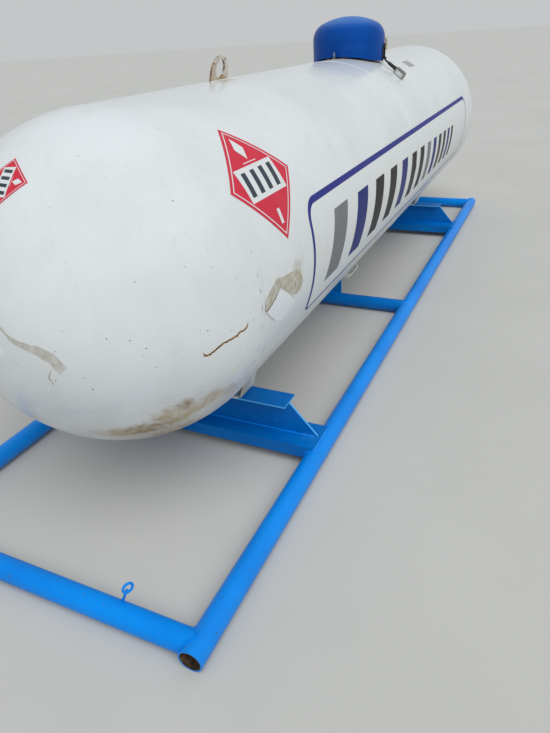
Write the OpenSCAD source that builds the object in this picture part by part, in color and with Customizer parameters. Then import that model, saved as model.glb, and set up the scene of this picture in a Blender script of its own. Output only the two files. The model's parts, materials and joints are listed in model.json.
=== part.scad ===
// Horizontal pressure tank for liquefied gas, carried on a welded pipe skid.
// The tank is a thin steel shell with two domed ends, four legs and two lifting lugs.
// A hinged hood on top covers the valves. The skid has two pipe runners and cross pipes.
// Millimetres. +X runs along the tank from the near end, +Z is up, the striped side faces -Y.

/* [Tank] */
// Outside diameter of the shell and of both ends
tank_d = 1041; // [760:1:1220]
// Distance between the seams of the two ends
seam_span = 3820; // [2000:10:6000]
// Wall of the rolled shell
shell_t = 6.2; // [5:0.1:10]
// Wall of the domed ends
head_t = 4; // [3:0.1:8]
// Underside of the tank above the saddle caps
tank_clear = 4; // [3:1:60]
// Near end of the tank, behind the axis of the near end pipe
tank_back = 128; // [0:1:600]
// Width of a weld bead
weld_w = 14; // [6:1:20]
// Height of a weld bead
weld_h = 2.4; // [1:0.1:4]

/* [Skid] */
// Outside diameter of the runners and of the end and middle pipes
pipe_d = 73; // [60:1:115]
// Wall of those pipes
pipe_t = 5.2; // [3:0.1:9]
// Distance between the axes of the two end pipes
skid_l = 4555; // [3000:5:7000]
// Distance between the axes of the two runners
skid_w = 1150; // [900:5:1600]
// How far a runner sticks out past the axis of an end pipe
runner_out = 48; // [40:1:150]
// Width of the saddle channels along the skid
channel_w = 152; // [110:1:180]
// Depth of the saddle channels
channel_h = 50; // [36:1:60]
// Top of the saddle channels above the ground
channel_z = 84; // [82:1:110]
// Wall of the saddle channels
channel_t = 8; // [5:0.5:12]
// Axis of the near saddle, from the near end pipe
saddle_near = 893; // [700:1:1300]
// Axis of the far saddle, from the near end pipe
saddle_far = 3750; // [3000:1:4000]
// Axis of the middle pipe, from the near end pipe
mid_x = 2256; // [1800:1:2700]
// Top of the saddle caps above the ground
cap_z = 222; // [160:1:320]
// Length of a saddle cap across the tank
cap_l = 912; // [600:1:1000]
// Width of a saddle cap along the tank
cap_w = 96; // [70:1:160]
// Thickness of the saddle caps
cap_t = 6; // [5:1:16]
// Thickness of the upright saddle plates
gusset_t = 8; // [5:1:16]
// Distance from a runner's axis to the end of a saddle plate
gusset_in = 12; // [10:1:120]

/* [Legs] */
// Distance of a leg's outer face from the middle plane, at its foot
leg_y = 282; // [180:1:340]
// Length of a leg's foot, inwards
leg_deep = 58; // [40:1:110]
// Thickness of the leg plate
leg_t = 8; // [4:0.5:12]
// Radius of the bend between a leg and its foot
leg_bend = 14; // [10:1:25]
// How far a leg leans outwards
leg_lean = 17; // [0:1:30]

/* [Lugs] */
// Middle of each lifting lug, from the nearest seam
lug_in = 738; // [300:5:1200]
// Width of a lug
lug_l = 126; // [100:1:160]
// Height of a lug above the shell
lug_h = 86; // [80:1:140]
// Thickness of a lug
lug_t = 9; // [8:1:25]
// Diameter of the hole in a lug
lug_hole = 66; // [30:1:68]
// Middle of that hole above the shell
lug_hole_z = 42; // [40:1:60]
// How far the near lug is bent over
lug_lean = 14; // [0:1:20]

/* [Hood] */
// Middle of the hood, from the near seam
hood_x = 2300; // [900:5:3000]
// Outside diameter of the hood
hood_d = 412; // [320:1:520]
// Height of the hood's crown above the top of the shell
hood_h = 205; // [170:1:320]
// Height of the hood's straight side above the top of the shell
hood_side = 90; // [75:1:150]
// Wall of the hood
hood_t = 3; // [2:0.5:6]
// Clearance between the hood's lower edge and the shell
hood_gap = 8; // [6:0.5:15]
// Hinge axis above the top of the shell
hinge_z = 26; // [18:1:50]
// Diameter of the hinge pin
hinge_pin_d = 8; // [6:0.5:14]
// Radius of the hood's edge between its side and its crown
hood_edge = 90; // [20:1:95]
// Width of the notch for the cable
notch_w = 70; // [40:1:90]
// Height of that notch above the top of the shell
notch_h = 57; // [40:1:90]
// Direction of the notch round the hood, from +X
notch_a = -84; // [-100:1:-60]

/* [Sensor] */
// Middle of the sensor box, from the near seam
box_x = 2237; // [2190:1:2260]
// Angle of the sensor box above the level of the tank's axis
box_a = 53; // [46:1:56]
// Length of the sensor box down the shell
box_l = 64; // [50:1:100]
// Width of the sensor box along the shell
box_w = 40; // [34:1:70]
// Thickness of the sensor box
box_h = 32; // [26:1:50]
// Height of the feet under the sensor box
foot_h = 4; // [3:0.5:12]
// Diameter of the sensor cable
cable_d = 9; // [5:0.5:12]
// Length of the gland on the box
gland_l = 60; // [30:1:80]
// Diameter of the gland
gland_d = 18; // [14:1:24]

/* [Fittings] */
// Middle of the blank data plate, from the near seam
plate_x = 2700; // [2600:1:3000]
// Angle of the data plate above the level of the tank's axis
plate_a = 60; // [40:1:75]
// Length of the data plate along the shell
plate_l = 130; // [80:1:200]
// Width of the data plate
plate_w = 62; // [40:1:100]
// Middle of the strap under the shell, from the near seam
strap_x = 1290; // [800:1:1800]
// Angle of that strap below the level of the tank's axis
strap_a = 49; // [30:1:60]
// Length of that strap
strap_l = 150; // [100:1:220]
// Height of that strap off the shell
strap_h = 28; // [15:1:50]

/* [Hidden] */
blue = [0.04, 0.36, 0.78];
white = [0.86, 0.87, 0.88];
brass = [0.72, 0.55, 0.25];
steel = [0.62, 0.62, 0.6];
dark = [0.12, 0.12, 0.13];
eps = 0.01;
fn_big = 128;
fn_pipe = 64;
fn_cut = 360;

tank_r = tank_d / 2;
pipe_r = pipe_d / 2;
gusset_l = skid_w - 2 * gusset_in;
// Ends of the whole object along X, measured from the near end pipe
seam_x = tank_back + tank_r;
low_x = min(-runner_out, tank_back);
high_x = max(skid_l + runner_out, seam_x + seam_span + tank_r);
shift_x = -(low_x + high_x) / 2;
axis_z = cap_z + tank_clear + tank_r;
top_z = axis_z + tank_r;
hood_r = hood_d / 2;
hinge_dx = hood_r + 14;
ear_t = 5;
knuckle_r = hinge_pin_d / 2 + 4;
knuckle_l = 44;
play = 0.1;

// Places a child at x from the near end pipe
module at(x) translate([shift_x + x, 0, 0]) children();

// Places a child at x from the near seam, on the tank's axis
module on_tank(x) translate([shift_x + seam_x + x, 0, axis_z]) children();

// Places a child on the top line of the shell
module on_top(x) translate([shift_x + seam_x + x, 0, top_z]) children();

// A solid bar along X with its middle at the origin
module bar_x(r, l, fn = fn_pipe) rotate([0, 90, 0]) cylinder(r = r, h = l, center = true, $fn = fn);

// A solid bar along Y with its middle at the origin
module bar_y(r, l, fn = fn_pipe) rotate([90, 0, 0]) cylinder(r = r, h = l, center = true, $fn = fn);

// The outside of the whole shell, longer than the shell, for trimming what is welded to it
module shell_cutter(extra = 0, fn = fn_big) at(skid_l / 2) translate([0, 0, axis_z])
    bar_x(tank_r + extra, skid_l * 2 + seam_span, fn);

module runner(side) translate([shift_x + skid_l / 2, side * skid_w / 2, pipe_r])
    difference() {
        bar_x(pipe_r, skid_l + 2 * runner_out);
        bar_x(pipe_r - pipe_t, skid_l + 2 * runner_out + 2);
    }

module runner_left() color(blue) runner(1);
module runner_right() color(blue) runner(-1);

// The outsides of both runners, for coping what is welded between them
module runner_cutter() for (side = [-1, 1])
    translate([shift_x + skid_l / 2, side * skid_w / 2, pipe_r]) bar_x(pipe_r, skid_l * 2);

// A cross pipe whose ends are coped to the runners
module cross_pipe(x) difference() {
    at(x) translate([0, 0, pipe_r]) bar_y(pipe_r, skid_w);
    at(x) translate([0, 0, pipe_r]) bar_y(pipe_r - pipe_t, skid_w + 2);
    runner_cutter();
}

module end_pipe_near() color(blue) cross_pipe(0);
module end_pipe_far() color(blue) cross_pipe(skid_l);
module mid_pipe() color(blue) cross_pipe(mid_x);

// A channel laid with its open side down, closed at its ends and coped to the runners
module saddle_channel(x) difference() {
    at(x) translate([-channel_w / 2, -skid_w / 2 + 2, channel_z - channel_h])
        cube([channel_w, skid_w - 4, channel_h]);
    at(x) translate([channel_t - channel_w / 2, -skid_w / 2 + 2 + channel_t, channel_z - channel_h - 1])
        cube([channel_w - 2 * channel_t, skid_w - 4 - 2 * channel_t, channel_h + 1 - channel_t]);
    runner_cutter();
}

module saddle_channel_near() color(blue) saddle_channel(saddle_near);
module saddle_channel_far() color(blue) saddle_channel(saddle_far);

// The upright plate under the middle of the tank
module mid_plate() color(blue) difference() {
    at(mid_x) translate([-gusset_t / 2, -190, pipe_r]) cube([gusset_t, 380, cap_z - 20 - pipe_r]);
    at(mid_x) translate([0, 0, pipe_r]) bar_y(pipe_r, skid_w);
    shell_cutter(8);
}

// The tapered plate that stands on a saddle channel
module saddle_plate(x) at(x) translate([gusset_t / 2, 0, 0]) rotate([90, 0, -90])
    linear_extrude(gusset_t) polygon([
        [-gusset_l / 2, channel_z], [gusset_l / 2, channel_z],
        [gusset_l / 2, channel_z + 6], [cap_l / 2 - 4, cap_z - cap_t],
        [-cap_l / 2 + 4, cap_z - cap_t], [-gusset_l / 2, channel_z + 6]]);

module saddle_cap(x) at(x) translate([-cap_w / 2, -cap_l / 2, cap_z - cap_t]) cube([cap_w, cap_l, cap_t]);

module saddle_plate_near() color(blue) saddle_plate(saddle_near);
module saddle_plate_far() color(blue) saddle_plate(saddle_far);
module saddle_cap_near() color(blue) saddle_cap(saddle_near);
module saddle_cap_far() color(blue) saddle_cap(saddle_far);

// A bent rod with a ring at its end, welded to the back of the near end pipe, for a rope
eye_foot = [24, -311, 54];
eye_ring = [20, -352, 136];
module tie_eye() color(blue) at(0) difference() {
    union() {
        translate(eye_ring) rotate([90, 0, -23]) rotate_extrude($fn = 48)
            translate([14.5, 0]) circle(r = 3.8, $fn = 24);
        link(eye_foot, eye_ring - 14.5 * (eye_ring - eye_foot) / norm(eye_ring - eye_foot), 3.8);
    }
    translate([0, -311, pipe_r]) bar_y(pipe_r, 200);
}

// A leg is a bent plate: a leaning web under the shell and a foot turned inwards on the cap
leg_steps = 8;
leg_up = 0.35 * tank_r * [sin(leg_lean), cos(leg_lean)];
function leg_turn(i) = let (a = (90 - leg_lean) * i / leg_steps - 90) [cos(a), sin(a)];
module leg(x, side) difference() {
    at(x) mirror([0, side < 0 ? 1 : 0, 0]) translate([cap_w / 2, leg_y - leg_bend, cap_z + leg_bend])
        rotate([90, 0, -90]) linear_extrude(cap_w) mirror([1, 0]) polygon(concat(
            [[leg_bend - leg_deep, leg_t - leg_bend], [leg_bend - leg_deep, -leg_bend]],
            [for (i = [0:leg_steps]) leg_bend * leg_turn(i)],
            [leg_bend * leg_turn(leg_steps) + leg_up],
            [(leg_bend - leg_t) * leg_turn(leg_steps) + leg_up],
            [for (i = [leg_steps:-1:0]) (leg_bend - leg_t) * leg_turn(i)]));
    shell_cutter();
}

module leg_near_left() color(white) leg(saddle_near, 1);
module leg_near_right() color(white) leg(saddle_near, -1);
module leg_far_left() color(white) leg(saddle_far, 1);
module leg_far_right() color(white) leg(saddle_far, -1);

// One rolled course of the shell
module course(x0, x1) on_tank((x0 + x1) / 2) difference() {
    bar_x(tank_r, x1 - x0, fn_big);
    bar_x(tank_r - shell_t, x1 - x0 + 2, fn_big);
}

module shell_near() color(white) course(0, seam_span / 2);
module shell_far() color(white) course(seam_span / 2, seam_span);

// A hemispherical end, open towards +X
module head() rotate([0, -90, 0]) rotate_extrude($fn = fn_big) intersection() {
    difference() {
        circle(r = tank_r, $fn = fn_big);
        circle(r = tank_r - head_t, $fn = fn_big);
    }
    square([tank_r + 1, tank_r + 1]);
}

module head_near() color(white) on_tank(0) head();
module head_far() color(white) on_tank(seam_span) mirror([1, 0, 0]) head();

// A crowned bead that goes round the shell at a seam
module weld(x) on_tank(x) rotate([0, 90, 0]) rotate_extrude($fn = fn_big)
    polygon([
        [tank_r, -weld_w / 2], [tank_r + weld_h * 0.7, -weld_w / 4], [tank_r + weld_h, 0],
        [tank_r + weld_h * 0.7, weld_w / 4], [tank_r, weld_w / 2]]);

module weld_near() color(white) weld(0);
module weld_mid() color(white) weld(seam_span / 2);
module weld_far() color(white) weld(seam_span);

// An arched lifting lug that stands on the top line of the shell and may lean to -Y
module lug(x, lean) difference() {
    on_top(x) rotate([90 + lean, 0, 0]) translate([0, 0, -lug_t / 2]) linear_extrude(lug_t) difference() {
        union() {
            translate([0, lug_h - lug_l / 2]) circle(r = lug_l / 2, $fn = 96);
            translate([-lug_l / 2, -6]) square([lug_l, lug_h - lug_l / 2 + 6]);
        }
        translate([0, lug_hole_z]) circle(r = lug_hole / 2, $fn = 64);
    }
    shell_cutter();
}

module lug_near() color(white) lug(lug_in, lug_lean);
module lug_far() color(white) lug(seam_span - lug_in, 0);

// A blank plate, rolled to the shell, with a hole near each corner
module data_plate() color(steel) difference() {
    on_side(plate_x, plate_a) translate([-plate_l / 2, -plate_w / 2, -8]) cube([plate_l, plate_w, 12]);
    difference() {
        on_tank(plate_x) bar_x(tank_r + 60, plate_l * 2, fn_big);
        on_tank(plate_x) bar_x(tank_r + 1.6, plate_l * 3, fn_big);
    }
    for (sx = [-1, 1], sy = [-1, 1])
        on_side(plate_x, plate_a) translate([sx * (plate_l / 2 - 8), sy * (plate_w / 2 - 8), -12])
            cylinder(r = 2.2, h = 30, $fn = 24);
    shell_cutter();
}

// A strap with both ends turned in and welded to the shell
module under_strap() color(white) difference() {
    on_side(strap_x, -strap_a) translate([0, 10, 0]) rotate([90, 0, 0]) linear_extrude(20) difference() {
        polygon([
            [-strap_l / 2 - 12, -8], [-strap_l / 2 + 8, strap_h], [strap_l / 2 - 8, strap_h],
            [strap_l / 2 + 12, -8]]);
        polygon([
            [-strap_l / 2 - 5, -9], [-strap_l / 2 + 13, strap_h - 6], [strap_l / 2 - 13, strap_h - 6],
            [strap_l / 2 + 5, -9]]);
    }
    shell_cutter();
}

// The hinge bracket: a foot on the shell and two ears that hold the pin
module hinge_bracket() color(blue) difference() {
    on_top(hood_x + hinge_dx) union() {
        for (side = [-1, 1])
            translate([0, side * (knuckle_l / 2 + 1 + ear_t / 2), 0]) union() {
                translate([0, 0, hinge_z]) bar_y(knuckle_r, ear_t, 48);
                translate([-knuckle_r, -ear_t / 2, -3]) cube([2 * knuckle_r, ear_t, hinge_z + 3]);
            }
        translate([-knuckle_r, -knuckle_l / 2 - 12, -3]) cube([2 * knuckle_r, knuckle_l + 24, 9]);
    }
    on_top(hood_x + hinge_dx) translate([0, 0, hinge_z]) bar_y(hinge_pin_d / 2, knuckle_l * 3, 48);
    shell_cutter();
}

module hinge_pin() color(steel) on_top(hood_x + hinge_dx) translate([0, 0, hinge_z]) union() {
    bar_y(hinge_pin_d / 2, knuckle_l + 2 + 2 * ear_t + 2, 48);
    for (side = [-1, 1])
        translate([0, side * (knuckle_l / 2 + 1 + ear_t + 2.5), 0]) bar_y(hinge_pin_d / 2 + 2, 3, 48);
}

// The crown's radius, so that it runs smoothly into the rounded edge
edge_x = hood_r - hood_edge;
rise = hood_h - hood_side;
crown_r = (edge_x * edge_x + rise * rise - hood_edge * hood_edge) / (2 * (rise - hood_edge));
meet_a = atan2(crown_r - rise, edge_x);

// The hood's form as a solid of revolution, shrunk by a wall
module hood_solid(wall) rotate_extrude($fn = 96) intersection() {
    translate([0, hood_h - crown_r]) circle(r = crown_r - wall, $fn = 360);
    union() {
        translate([0, -95]) square([hood_r - wall, 95 + hood_side]);
        translate([0, -95]) square([edge_x + (hood_edge - wall) * cos(meet_a), 95 + hood_h]);
        translate([edge_x, hood_side]) circle(r = hood_edge - wall, $fn = 128);
    }
    translate([0, -95]) square([hood_r, 95 + hood_h]);
}

// The notch for the cable, round at its top and open below
module notch(extra, deep) rotate([0, 0, notch_a]) translate([hood_r, 0, notch_h - notch_w / 2])
    rotate([0, 90, 0]) union() {
        cylinder(r = notch_w / 2 + extra, h = deep, center = true, $fn = 48);
        translate([0, -notch_w / 2 - extra, -deep / 2]) cube([120, notch_w + 2 * extra, deep]);
    }

// Everything below the hood's lower edge, on a flatter curve than the shell
module below_hood() at(skid_l / 2) translate([0, 0, axis_z - 100])
    bar_x(tank_r + 100 + hood_gap, skid_l * 2, fn_big);

// The hood, with its lower edge cut to follow the shell
module hood_cover() color(blue) difference() {
    on_top(hood_x) difference() {
        hood_solid(0);
        hood_solid(hood_t);
        translate([0, 0, -96]) cylinder(r = hood_r - hood_t, h = 100, $fn = 96);
        notch(0, 60);
    }
    below_hood();
}

// The rubber edging of the notch
module notch_trim() color(dark) difference() {
    on_top(hood_x) difference() {
        intersection() {
            notch(5, 60);
            difference() {
                cylinder(r = hood_r + 5, h = 300, center = true, $fn = 96);
                cylinder(r = hood_r - hood_t - 4, h = 302, center = true, $fn = 96);
            }
        }
        notch(-3, 70);
        difference() {
            cylinder(r = hood_r, h = 304, center = true, $fn = fn_cut);
            cylinder(r = hood_r - hood_t, h = 306, center = true, $fn = fn_cut);
            notch(0, 80);
        }
    }
    below_hood();
}

// The strap that joins the hood to the hinge pin
module hood_strap() color(blue) on_top(hood_x) difference() {
    union() {
        translate([hinge_dx, 0, hinge_z]) bar_y(knuckle_r, knuckle_l, 48);
        translate([hood_r - 6, -knuckle_l / 2, hinge_z - 1]) cube([hinge_dx - hood_r + 6, knuckle_l, 5]);
        translate([hood_r - 6, -knuckle_l / 2, hinge_z - 1]) cube([9, knuckle_l, 46]);
    }
    cylinder(r = hood_r, h = 400, center = true, $fn = fn_cut);
    translate([hinge_dx, 0, hinge_z]) bar_y(hinge_pin_d / 2 + play, knuckle_l * 3, 48);
}

// The hood's locking tab, an upright plate with a hole, at the near side
module hood_hasp() color(blue) on_top(hood_x) difference() {
    translate([-hood_r - 24, -2, 10]) cube([26, 5, 24]);
    translate([-hood_r - 14, 0, 22]) bar_y(5, 20, 32);
    cylinder(r = hood_r, h = 400, center = true, $fn = fn_cut);
}

// The tank's locking tab, beside the hood's
module hasp_staple() color(steel) difference() {
    on_top(hood_x - hood_r) translate([-24, 7, -4]) cube([18, 5.5, 36]);
    on_top(hood_x - hood_r) translate([-14, 10, 22]) bar_y(5, 20, 32);
    shell_cutter();
}

// A valve: a threaded foot in the shell, a hexagon, a body and a cap
module valve(x, y, foot_r, hex_r, body_r, h, cap_r, cap_h) {
    z0 = sqrt(tank_r * tank_r - y * y) - tank_r;
    on_top(hood_x + x) translate([0, y, 0]) union() {
        translate([0, 0, z0 - 30]) cylinder(r = foot_r, h = 30 + 14, $fn = 48);
        translate([0, 0, z0 + 12]) cylinder(r = hex_r, h = 14, $fn = 6);
        translate([0, 0, z0 + 25]) cylinder(r = body_r, h = h - 25 - cap_h + 1, $fn = 48);
        translate([0, 0, z0 + h - cap_h]) cylinder(r = cap_r, h = cap_h, $fn = 48);
    }
}

module trimmed_valve(x, y, foot_r, hex_r, body_r, h, cap_r, cap_h) difference() {
    valve(x, y, foot_r, hex_r, body_r, h, cap_r, cap_h);
    shell_cutter();
}

module fill_valve() color(brass) trimmed_valve(-90, 0, 24, 30, 22, 98, 27, 30);
module relief_valve() color(brass) trimmed_valve(0, 72, 26, 32, 24, 130, 30, 12);
module vapour_valve() color(brass) trimmed_valve(10, -78, 20, 25, 18, 88, 21, 24);
module liquid_valve() color(brass) trimmed_valve(-60, 100, 18, 23, 16, 72, 18, 12);
module level_gauge() color(dark) trimmed_valve(0, 0, 30, 36, 34, 52, 38, 14);

// The service valve has a side outlet and a hand wheel
module service_valve() color(brass) difference() {
    on_top(hood_x + 92) union() {
        translate([0, 0, -30]) cylinder(r = 16, h = 46, $fn = 48);
        translate([0, 0, 12]) cylinder(r = 21, h = 14, $fn = 6);
        translate([0, 0, 24]) cylinder(r = 17, h = 38, $fn = 48);
        translate([0, -22, 44]) bar_y(12, 44, 48);
        translate([0, 0, 60]) cylinder(r = 6, h = 32, $fn = 32);
        translate([0, 0, 88]) difference() {
            cylinder(r = 28, h = 10, $fn = 48);
            for (i = [0:7])
                rotate([0, 0, i * 45]) translate([31, 0, -1]) cylinder(r = 6, h = 12, $fn = 24);
        }
    }
    shell_cutter();
}

// Places a child on the shell's side at box_a, with +Z away from the shell and +X along it
module on_side(x, a = box_a) on_tank(x) rotate([90 - a, 0, 0]) translate([0, 0, tank_r]) children();

// Places a child under the sensor box, with +Z through the box
module on_box() on_side(box_x) translate([0, 0, foot_h]) children();

// A thin plate on two square feet, which holds the box on the shell
module sensor_bracket() color(steel) difference() {
    on_box() union() {
        translate([-box_w / 2 + 3, -box_l / 2 + 3, -2]) cube([box_w - 6, box_l - 6, 2]);
        for (side = [-1, 1])
            translate([7 - box_w / 2, side * box_l / 4 - box_l / 8, -foot_h - 2])
                cube([box_w - 14, box_l / 4, foot_h + 1]);
    }
    shell_cutter(fn = fn_cut);
}

// The sensor box: a rounded body with a raised lid
module sensor_box() color([0.75, 0.78, 0.8]) on_box() union() {
    linear_extrude(box_h - 6) square([box_w - 16, box_l], center = true);
    linear_extrude(box_h - 6) square([box_w, box_l - 16], center = true);
    for (sx = [-1, 1], sy = [-1, 1])
        translate([sx * (box_w / 2 - 8), sy * (box_l / 2 - 8), 0]) cylinder(r = 8, h = box_h - 6, $fn = 32);
    translate([0, 0, box_h - 7]) linear_extrude(7) square([box_w - 12, box_l - 12], center = true);
}

// The gland that the cable goes into, at the upper edge of the sensor box
gland_z = box_h / 2;
module cable_gland() color(dark) on_box() translate([0, box_l / 2, gland_z]) rotate([-90, 0, 0]) union() {
    cylinder(r = gland_d / 2 + 3, h = 12, $fn = 6);
    cylinder(r = gland_d / 2, h = gland_l - 12, $fn = 32);
    translate([0, 0, gland_l - 12]) cylinder(r1 = gland_d / 2, r2 = cable_d / 2 + 1, h = 12, $fn = 32);
}

// The cable from the gauge under the hood, out through the notch and down to the gland
gland_up = box_l / 2 + gland_l - 3;
gland_out = tank_r + foot_h + gland_z;
gland_end = [
    box_x - hood_x,
    gland_up * sin(box_a) - gland_out * cos(box_a),
    gland_up * cos(box_a) + gland_out * sin(box_a) - tank_r];
gland_dir = [0, sin(box_a), cos(box_a)];
gate_z = -12;
function by_hood(a, out) = [(hood_r + out) * cos(a), (hood_r + out) * sin(a), gate_z];
cable_pts = [
    [18, -12, 46], [36, -60, 52], [36, -110, 30], by_hood(notch_a + 2, -36), by_hood(notch_a - 4, -8),
    by_hood(notch_a - 7, 20), by_hood(notch_a - 13, 24), gland_end + 27 * gland_dir, gland_end];

// A straight run of cable with a rounded joint at its end
module link(a, b, r) {
    v = b - a;
    translate(a) rotate([0, acos(v[2] / norm(v)), atan2(v[1], v[0])]) cylinder(r = r, h = norm(v), $fn = 24);
    translate(b) sphere(r = r * 1.08, $fn = 24);
}

module sensor_cable() color(dark) on_top(hood_x) union() {
    for (i = [0:len(cable_pts) - 2]) link(cable_pts[i], cable_pts[i + 1], cable_d / 2);
}

runner_left();
runner_right();
end_pipe_near();
end_pipe_far();
mid_pipe();
mid_plate();
saddle_channel_near();
saddle_channel_far();
saddle_plate_near();
saddle_plate_far();
saddle_cap_near();
saddle_cap_far();
tie_eye();
leg_near_left();
leg_near_right();
leg_far_left();
leg_far_right();
shell_near();
shell_far();
head_near();
head_far();
weld_near();
weld_mid();
weld_far();
lug_near();
lug_far();
data_plate();
under_strap();
hinge_bracket();
hinge_pin();
hasp_staple();
hood_cover();
hood_strap();
hood_hasp();
notch_trim();
fill_valve();
relief_valve();
service_valve();
vapour_valve();
liquid_valve();
level_gauge();
sensor_box();
sensor_bracket();
cable_gland();
sensor_cable();
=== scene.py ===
# %% [markdown]
# # A white pressure tank on a blue pipe skid
# A CAD model gives this tank its exact size: a rolled steel shell with two domed ends, four
# short legs, a skid of welded pipe and a hinged hood over the valves. This lesson gives it
# its looks: sprayed enamel that has been out in the weather, printed film, weld beads, the
# small things under the hood, and a plain studio.
#
# One unit is a metre. +X runs along the tank from the near end and +Z is up. The side with
# the printed film faces -Y. Every CAD node sits at the origin with its place in its mesh, so
# Object coordinates are also places on the real object.

import json
import math
import random

import bmesh
import bpy
from mathutils import Matrix, Vector

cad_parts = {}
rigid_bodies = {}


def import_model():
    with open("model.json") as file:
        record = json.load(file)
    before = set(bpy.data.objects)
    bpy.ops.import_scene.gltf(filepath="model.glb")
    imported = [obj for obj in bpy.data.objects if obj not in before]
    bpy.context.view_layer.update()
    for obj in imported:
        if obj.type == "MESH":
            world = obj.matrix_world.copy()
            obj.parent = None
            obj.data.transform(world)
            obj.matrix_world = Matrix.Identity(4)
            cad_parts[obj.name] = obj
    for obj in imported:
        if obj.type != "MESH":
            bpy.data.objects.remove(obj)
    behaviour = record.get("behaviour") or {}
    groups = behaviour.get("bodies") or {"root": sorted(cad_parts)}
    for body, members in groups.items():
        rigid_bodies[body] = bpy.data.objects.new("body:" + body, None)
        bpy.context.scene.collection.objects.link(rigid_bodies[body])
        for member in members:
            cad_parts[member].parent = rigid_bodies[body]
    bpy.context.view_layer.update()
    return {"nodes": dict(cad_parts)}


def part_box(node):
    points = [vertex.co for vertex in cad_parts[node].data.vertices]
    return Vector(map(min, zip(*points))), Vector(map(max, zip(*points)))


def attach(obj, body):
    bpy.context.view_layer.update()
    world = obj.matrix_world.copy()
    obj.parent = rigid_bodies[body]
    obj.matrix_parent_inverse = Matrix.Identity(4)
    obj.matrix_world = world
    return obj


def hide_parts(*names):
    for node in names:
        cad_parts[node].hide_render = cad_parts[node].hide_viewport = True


for leftover in list(bpy.data.objects):
    bpy.data.objects.remove(leftover)
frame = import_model()
nodes = frame["nodes"]

# %% [markdown]
# ## Sizes that the looks need
# Films and stains lie on the shell, so they need its radius, its axis and its seams. These
# could be typed again, but then they would be wrong as soon as the CAD model changed. They
# are measured on the nodes instead.

# %% Measure the tank, the skid and the hood
course_low, course_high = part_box("shell_near")
tank_r = (course_high.z - course_low.z) / 2
axis_z = (course_high.z + course_low.z) / 2
top_z = course_high.z
near_seam = course_low.x
far_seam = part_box("shell_far")[1].x
pipe_r = (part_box("mid_pipe")[1].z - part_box("mid_pipe")[0].z) / 2
runner_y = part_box("runner_left")[1].y - pipe_r
hood_low, hood_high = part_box("hood_cover")
hood_x = (hood_high.x + hood_low.x) / 2


def middle(node, axis):
    """The middle of a CAD node's box along one axis."""
    low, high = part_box(node)
    return (low[axis] + high[axis]) / 2


print("tank radius", round(tank_r, 4), "axis height", round(axis_z, 4), "hood x", round(hood_x, 3))

# %% [markdown]
# ## Two small helpers for materials
# Paint colours are easiest to compare as sRGB hex values, as on a colour chart, but a shader
# works with linear light. One function turns one into the other.
#
# A node takes many lines to add, set and link by hand. One function does this for any kind
# of node: a plain value is set on a socket, and another node's output is linked to it.


# %% Colour and node helpers
def linear(hex_colour):
    """An sRGB hex colour as linear RGBA."""
    parts = [int(hex_colour[i : i + 2], 16) / 255 for i in (1, 3, 5)]
    return tuple(c / 12.92 if c <= 0.04045 else ((c + 0.055) / 1.055) ** 2.4 for c in parts) + (1,)


def add_node(tree, kind, settings=None, inputs=None):
    """Adds one node. Inputs are given by name or number, as a value or as another node's output."""
    node = tree.nodes.new(kind)
    for name, value in (settings or {}).items():
        setattr(node, name, value)
    for key, value in (inputs or {}).items():
        if isinstance(value, bpy.types.NodeSocket):
            tree.links.new(value, node.inputs[key])
        else:
            node.inputs[key].default_value = value
    return node


FACTOR, A, B, MIXED = 0, 6, 7, 2  # sockets of a Mix node that mixes colours


def new_material(name, roughness, metallic=0.0):
    """A material with its tree, its shader and the Object coordinates."""
    material = bpy.data.materials.new(name)
    material.use_nodes = True
    tree = material.node_tree
    tree.nodes.clear()
    shader = add_node(
        tree, "ShaderNodeBsdfPrincipled", inputs={"Roughness": roughness, "Metallic": metallic}
    )
    add_node(tree, "ShaderNodeOutputMaterial", inputs={"Surface": shader.outputs["BSDF"]})
    place = add_node(tree, "ShaderNodeTexCoord").outputs["Object"]
    return material, tree, shader, place


def mottle(tree, place, scale, low, high, stretch=(1, 1, 1), detail=4):
    """A noise that goes from 0 to 1 between two of its levels, on coordinates that may be stretched."""
    moved = add_node(tree, "ShaderNodeMapping", inputs={"Vector": place, "Scale": stretch})
    noise = add_node(
        tree,
        "ShaderNodeTexNoise",
        inputs={"Vector": moved.outputs[0], "Scale": scale, "Detail": detail, "Roughness": 0.6},
    )
    ramp = add_node(
        tree,
        "ShaderNodeMapRange",
        {"interpolation_type": "SMOOTHSTEP"},
        {"Value": noise.outputs["Fac"], "From Min": low, "From Max": high},
    )
    return ramp.outputs["Result"]


def coat(tree, colour, new, *masks):
    """One colour over another, as thickly as the product of the masks says."""
    thick = masks[0]
    for mask in masks[1:]:
        product = add_node(tree, "ShaderNodeMath", {"operation": "MULTIPLY"}, {0: thick, 1: mask})
        thick = product.outputs[0]
    below, above = (linear(c) if isinstance(c, str) else c for c in (colour, new))
    mix = add_node(tree, "ShaderNodeMix", {"data_type": "RGBA"}, {FACTOR: thick, A: below, B: above})
    return mix.outputs[MIXED]


def finish(tree, shader, colour, height, distance, strength):
    """The last step of a material: its colour and a fine relief go to the shader."""
    tree.links.new(colour, shader.inputs["Base Color"])
    bump = add_node(
        tree,
        "ShaderNodeBump",
        inputs={"Height": height, "Distance": distance, "Strength": strength},
    )
    tree.links.new(bump.outputs["Normal"], shader.inputs["Normal"])


print("white enamel in linear light:", [round(c, 3) for c in linear("#dde1e3")])

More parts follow.
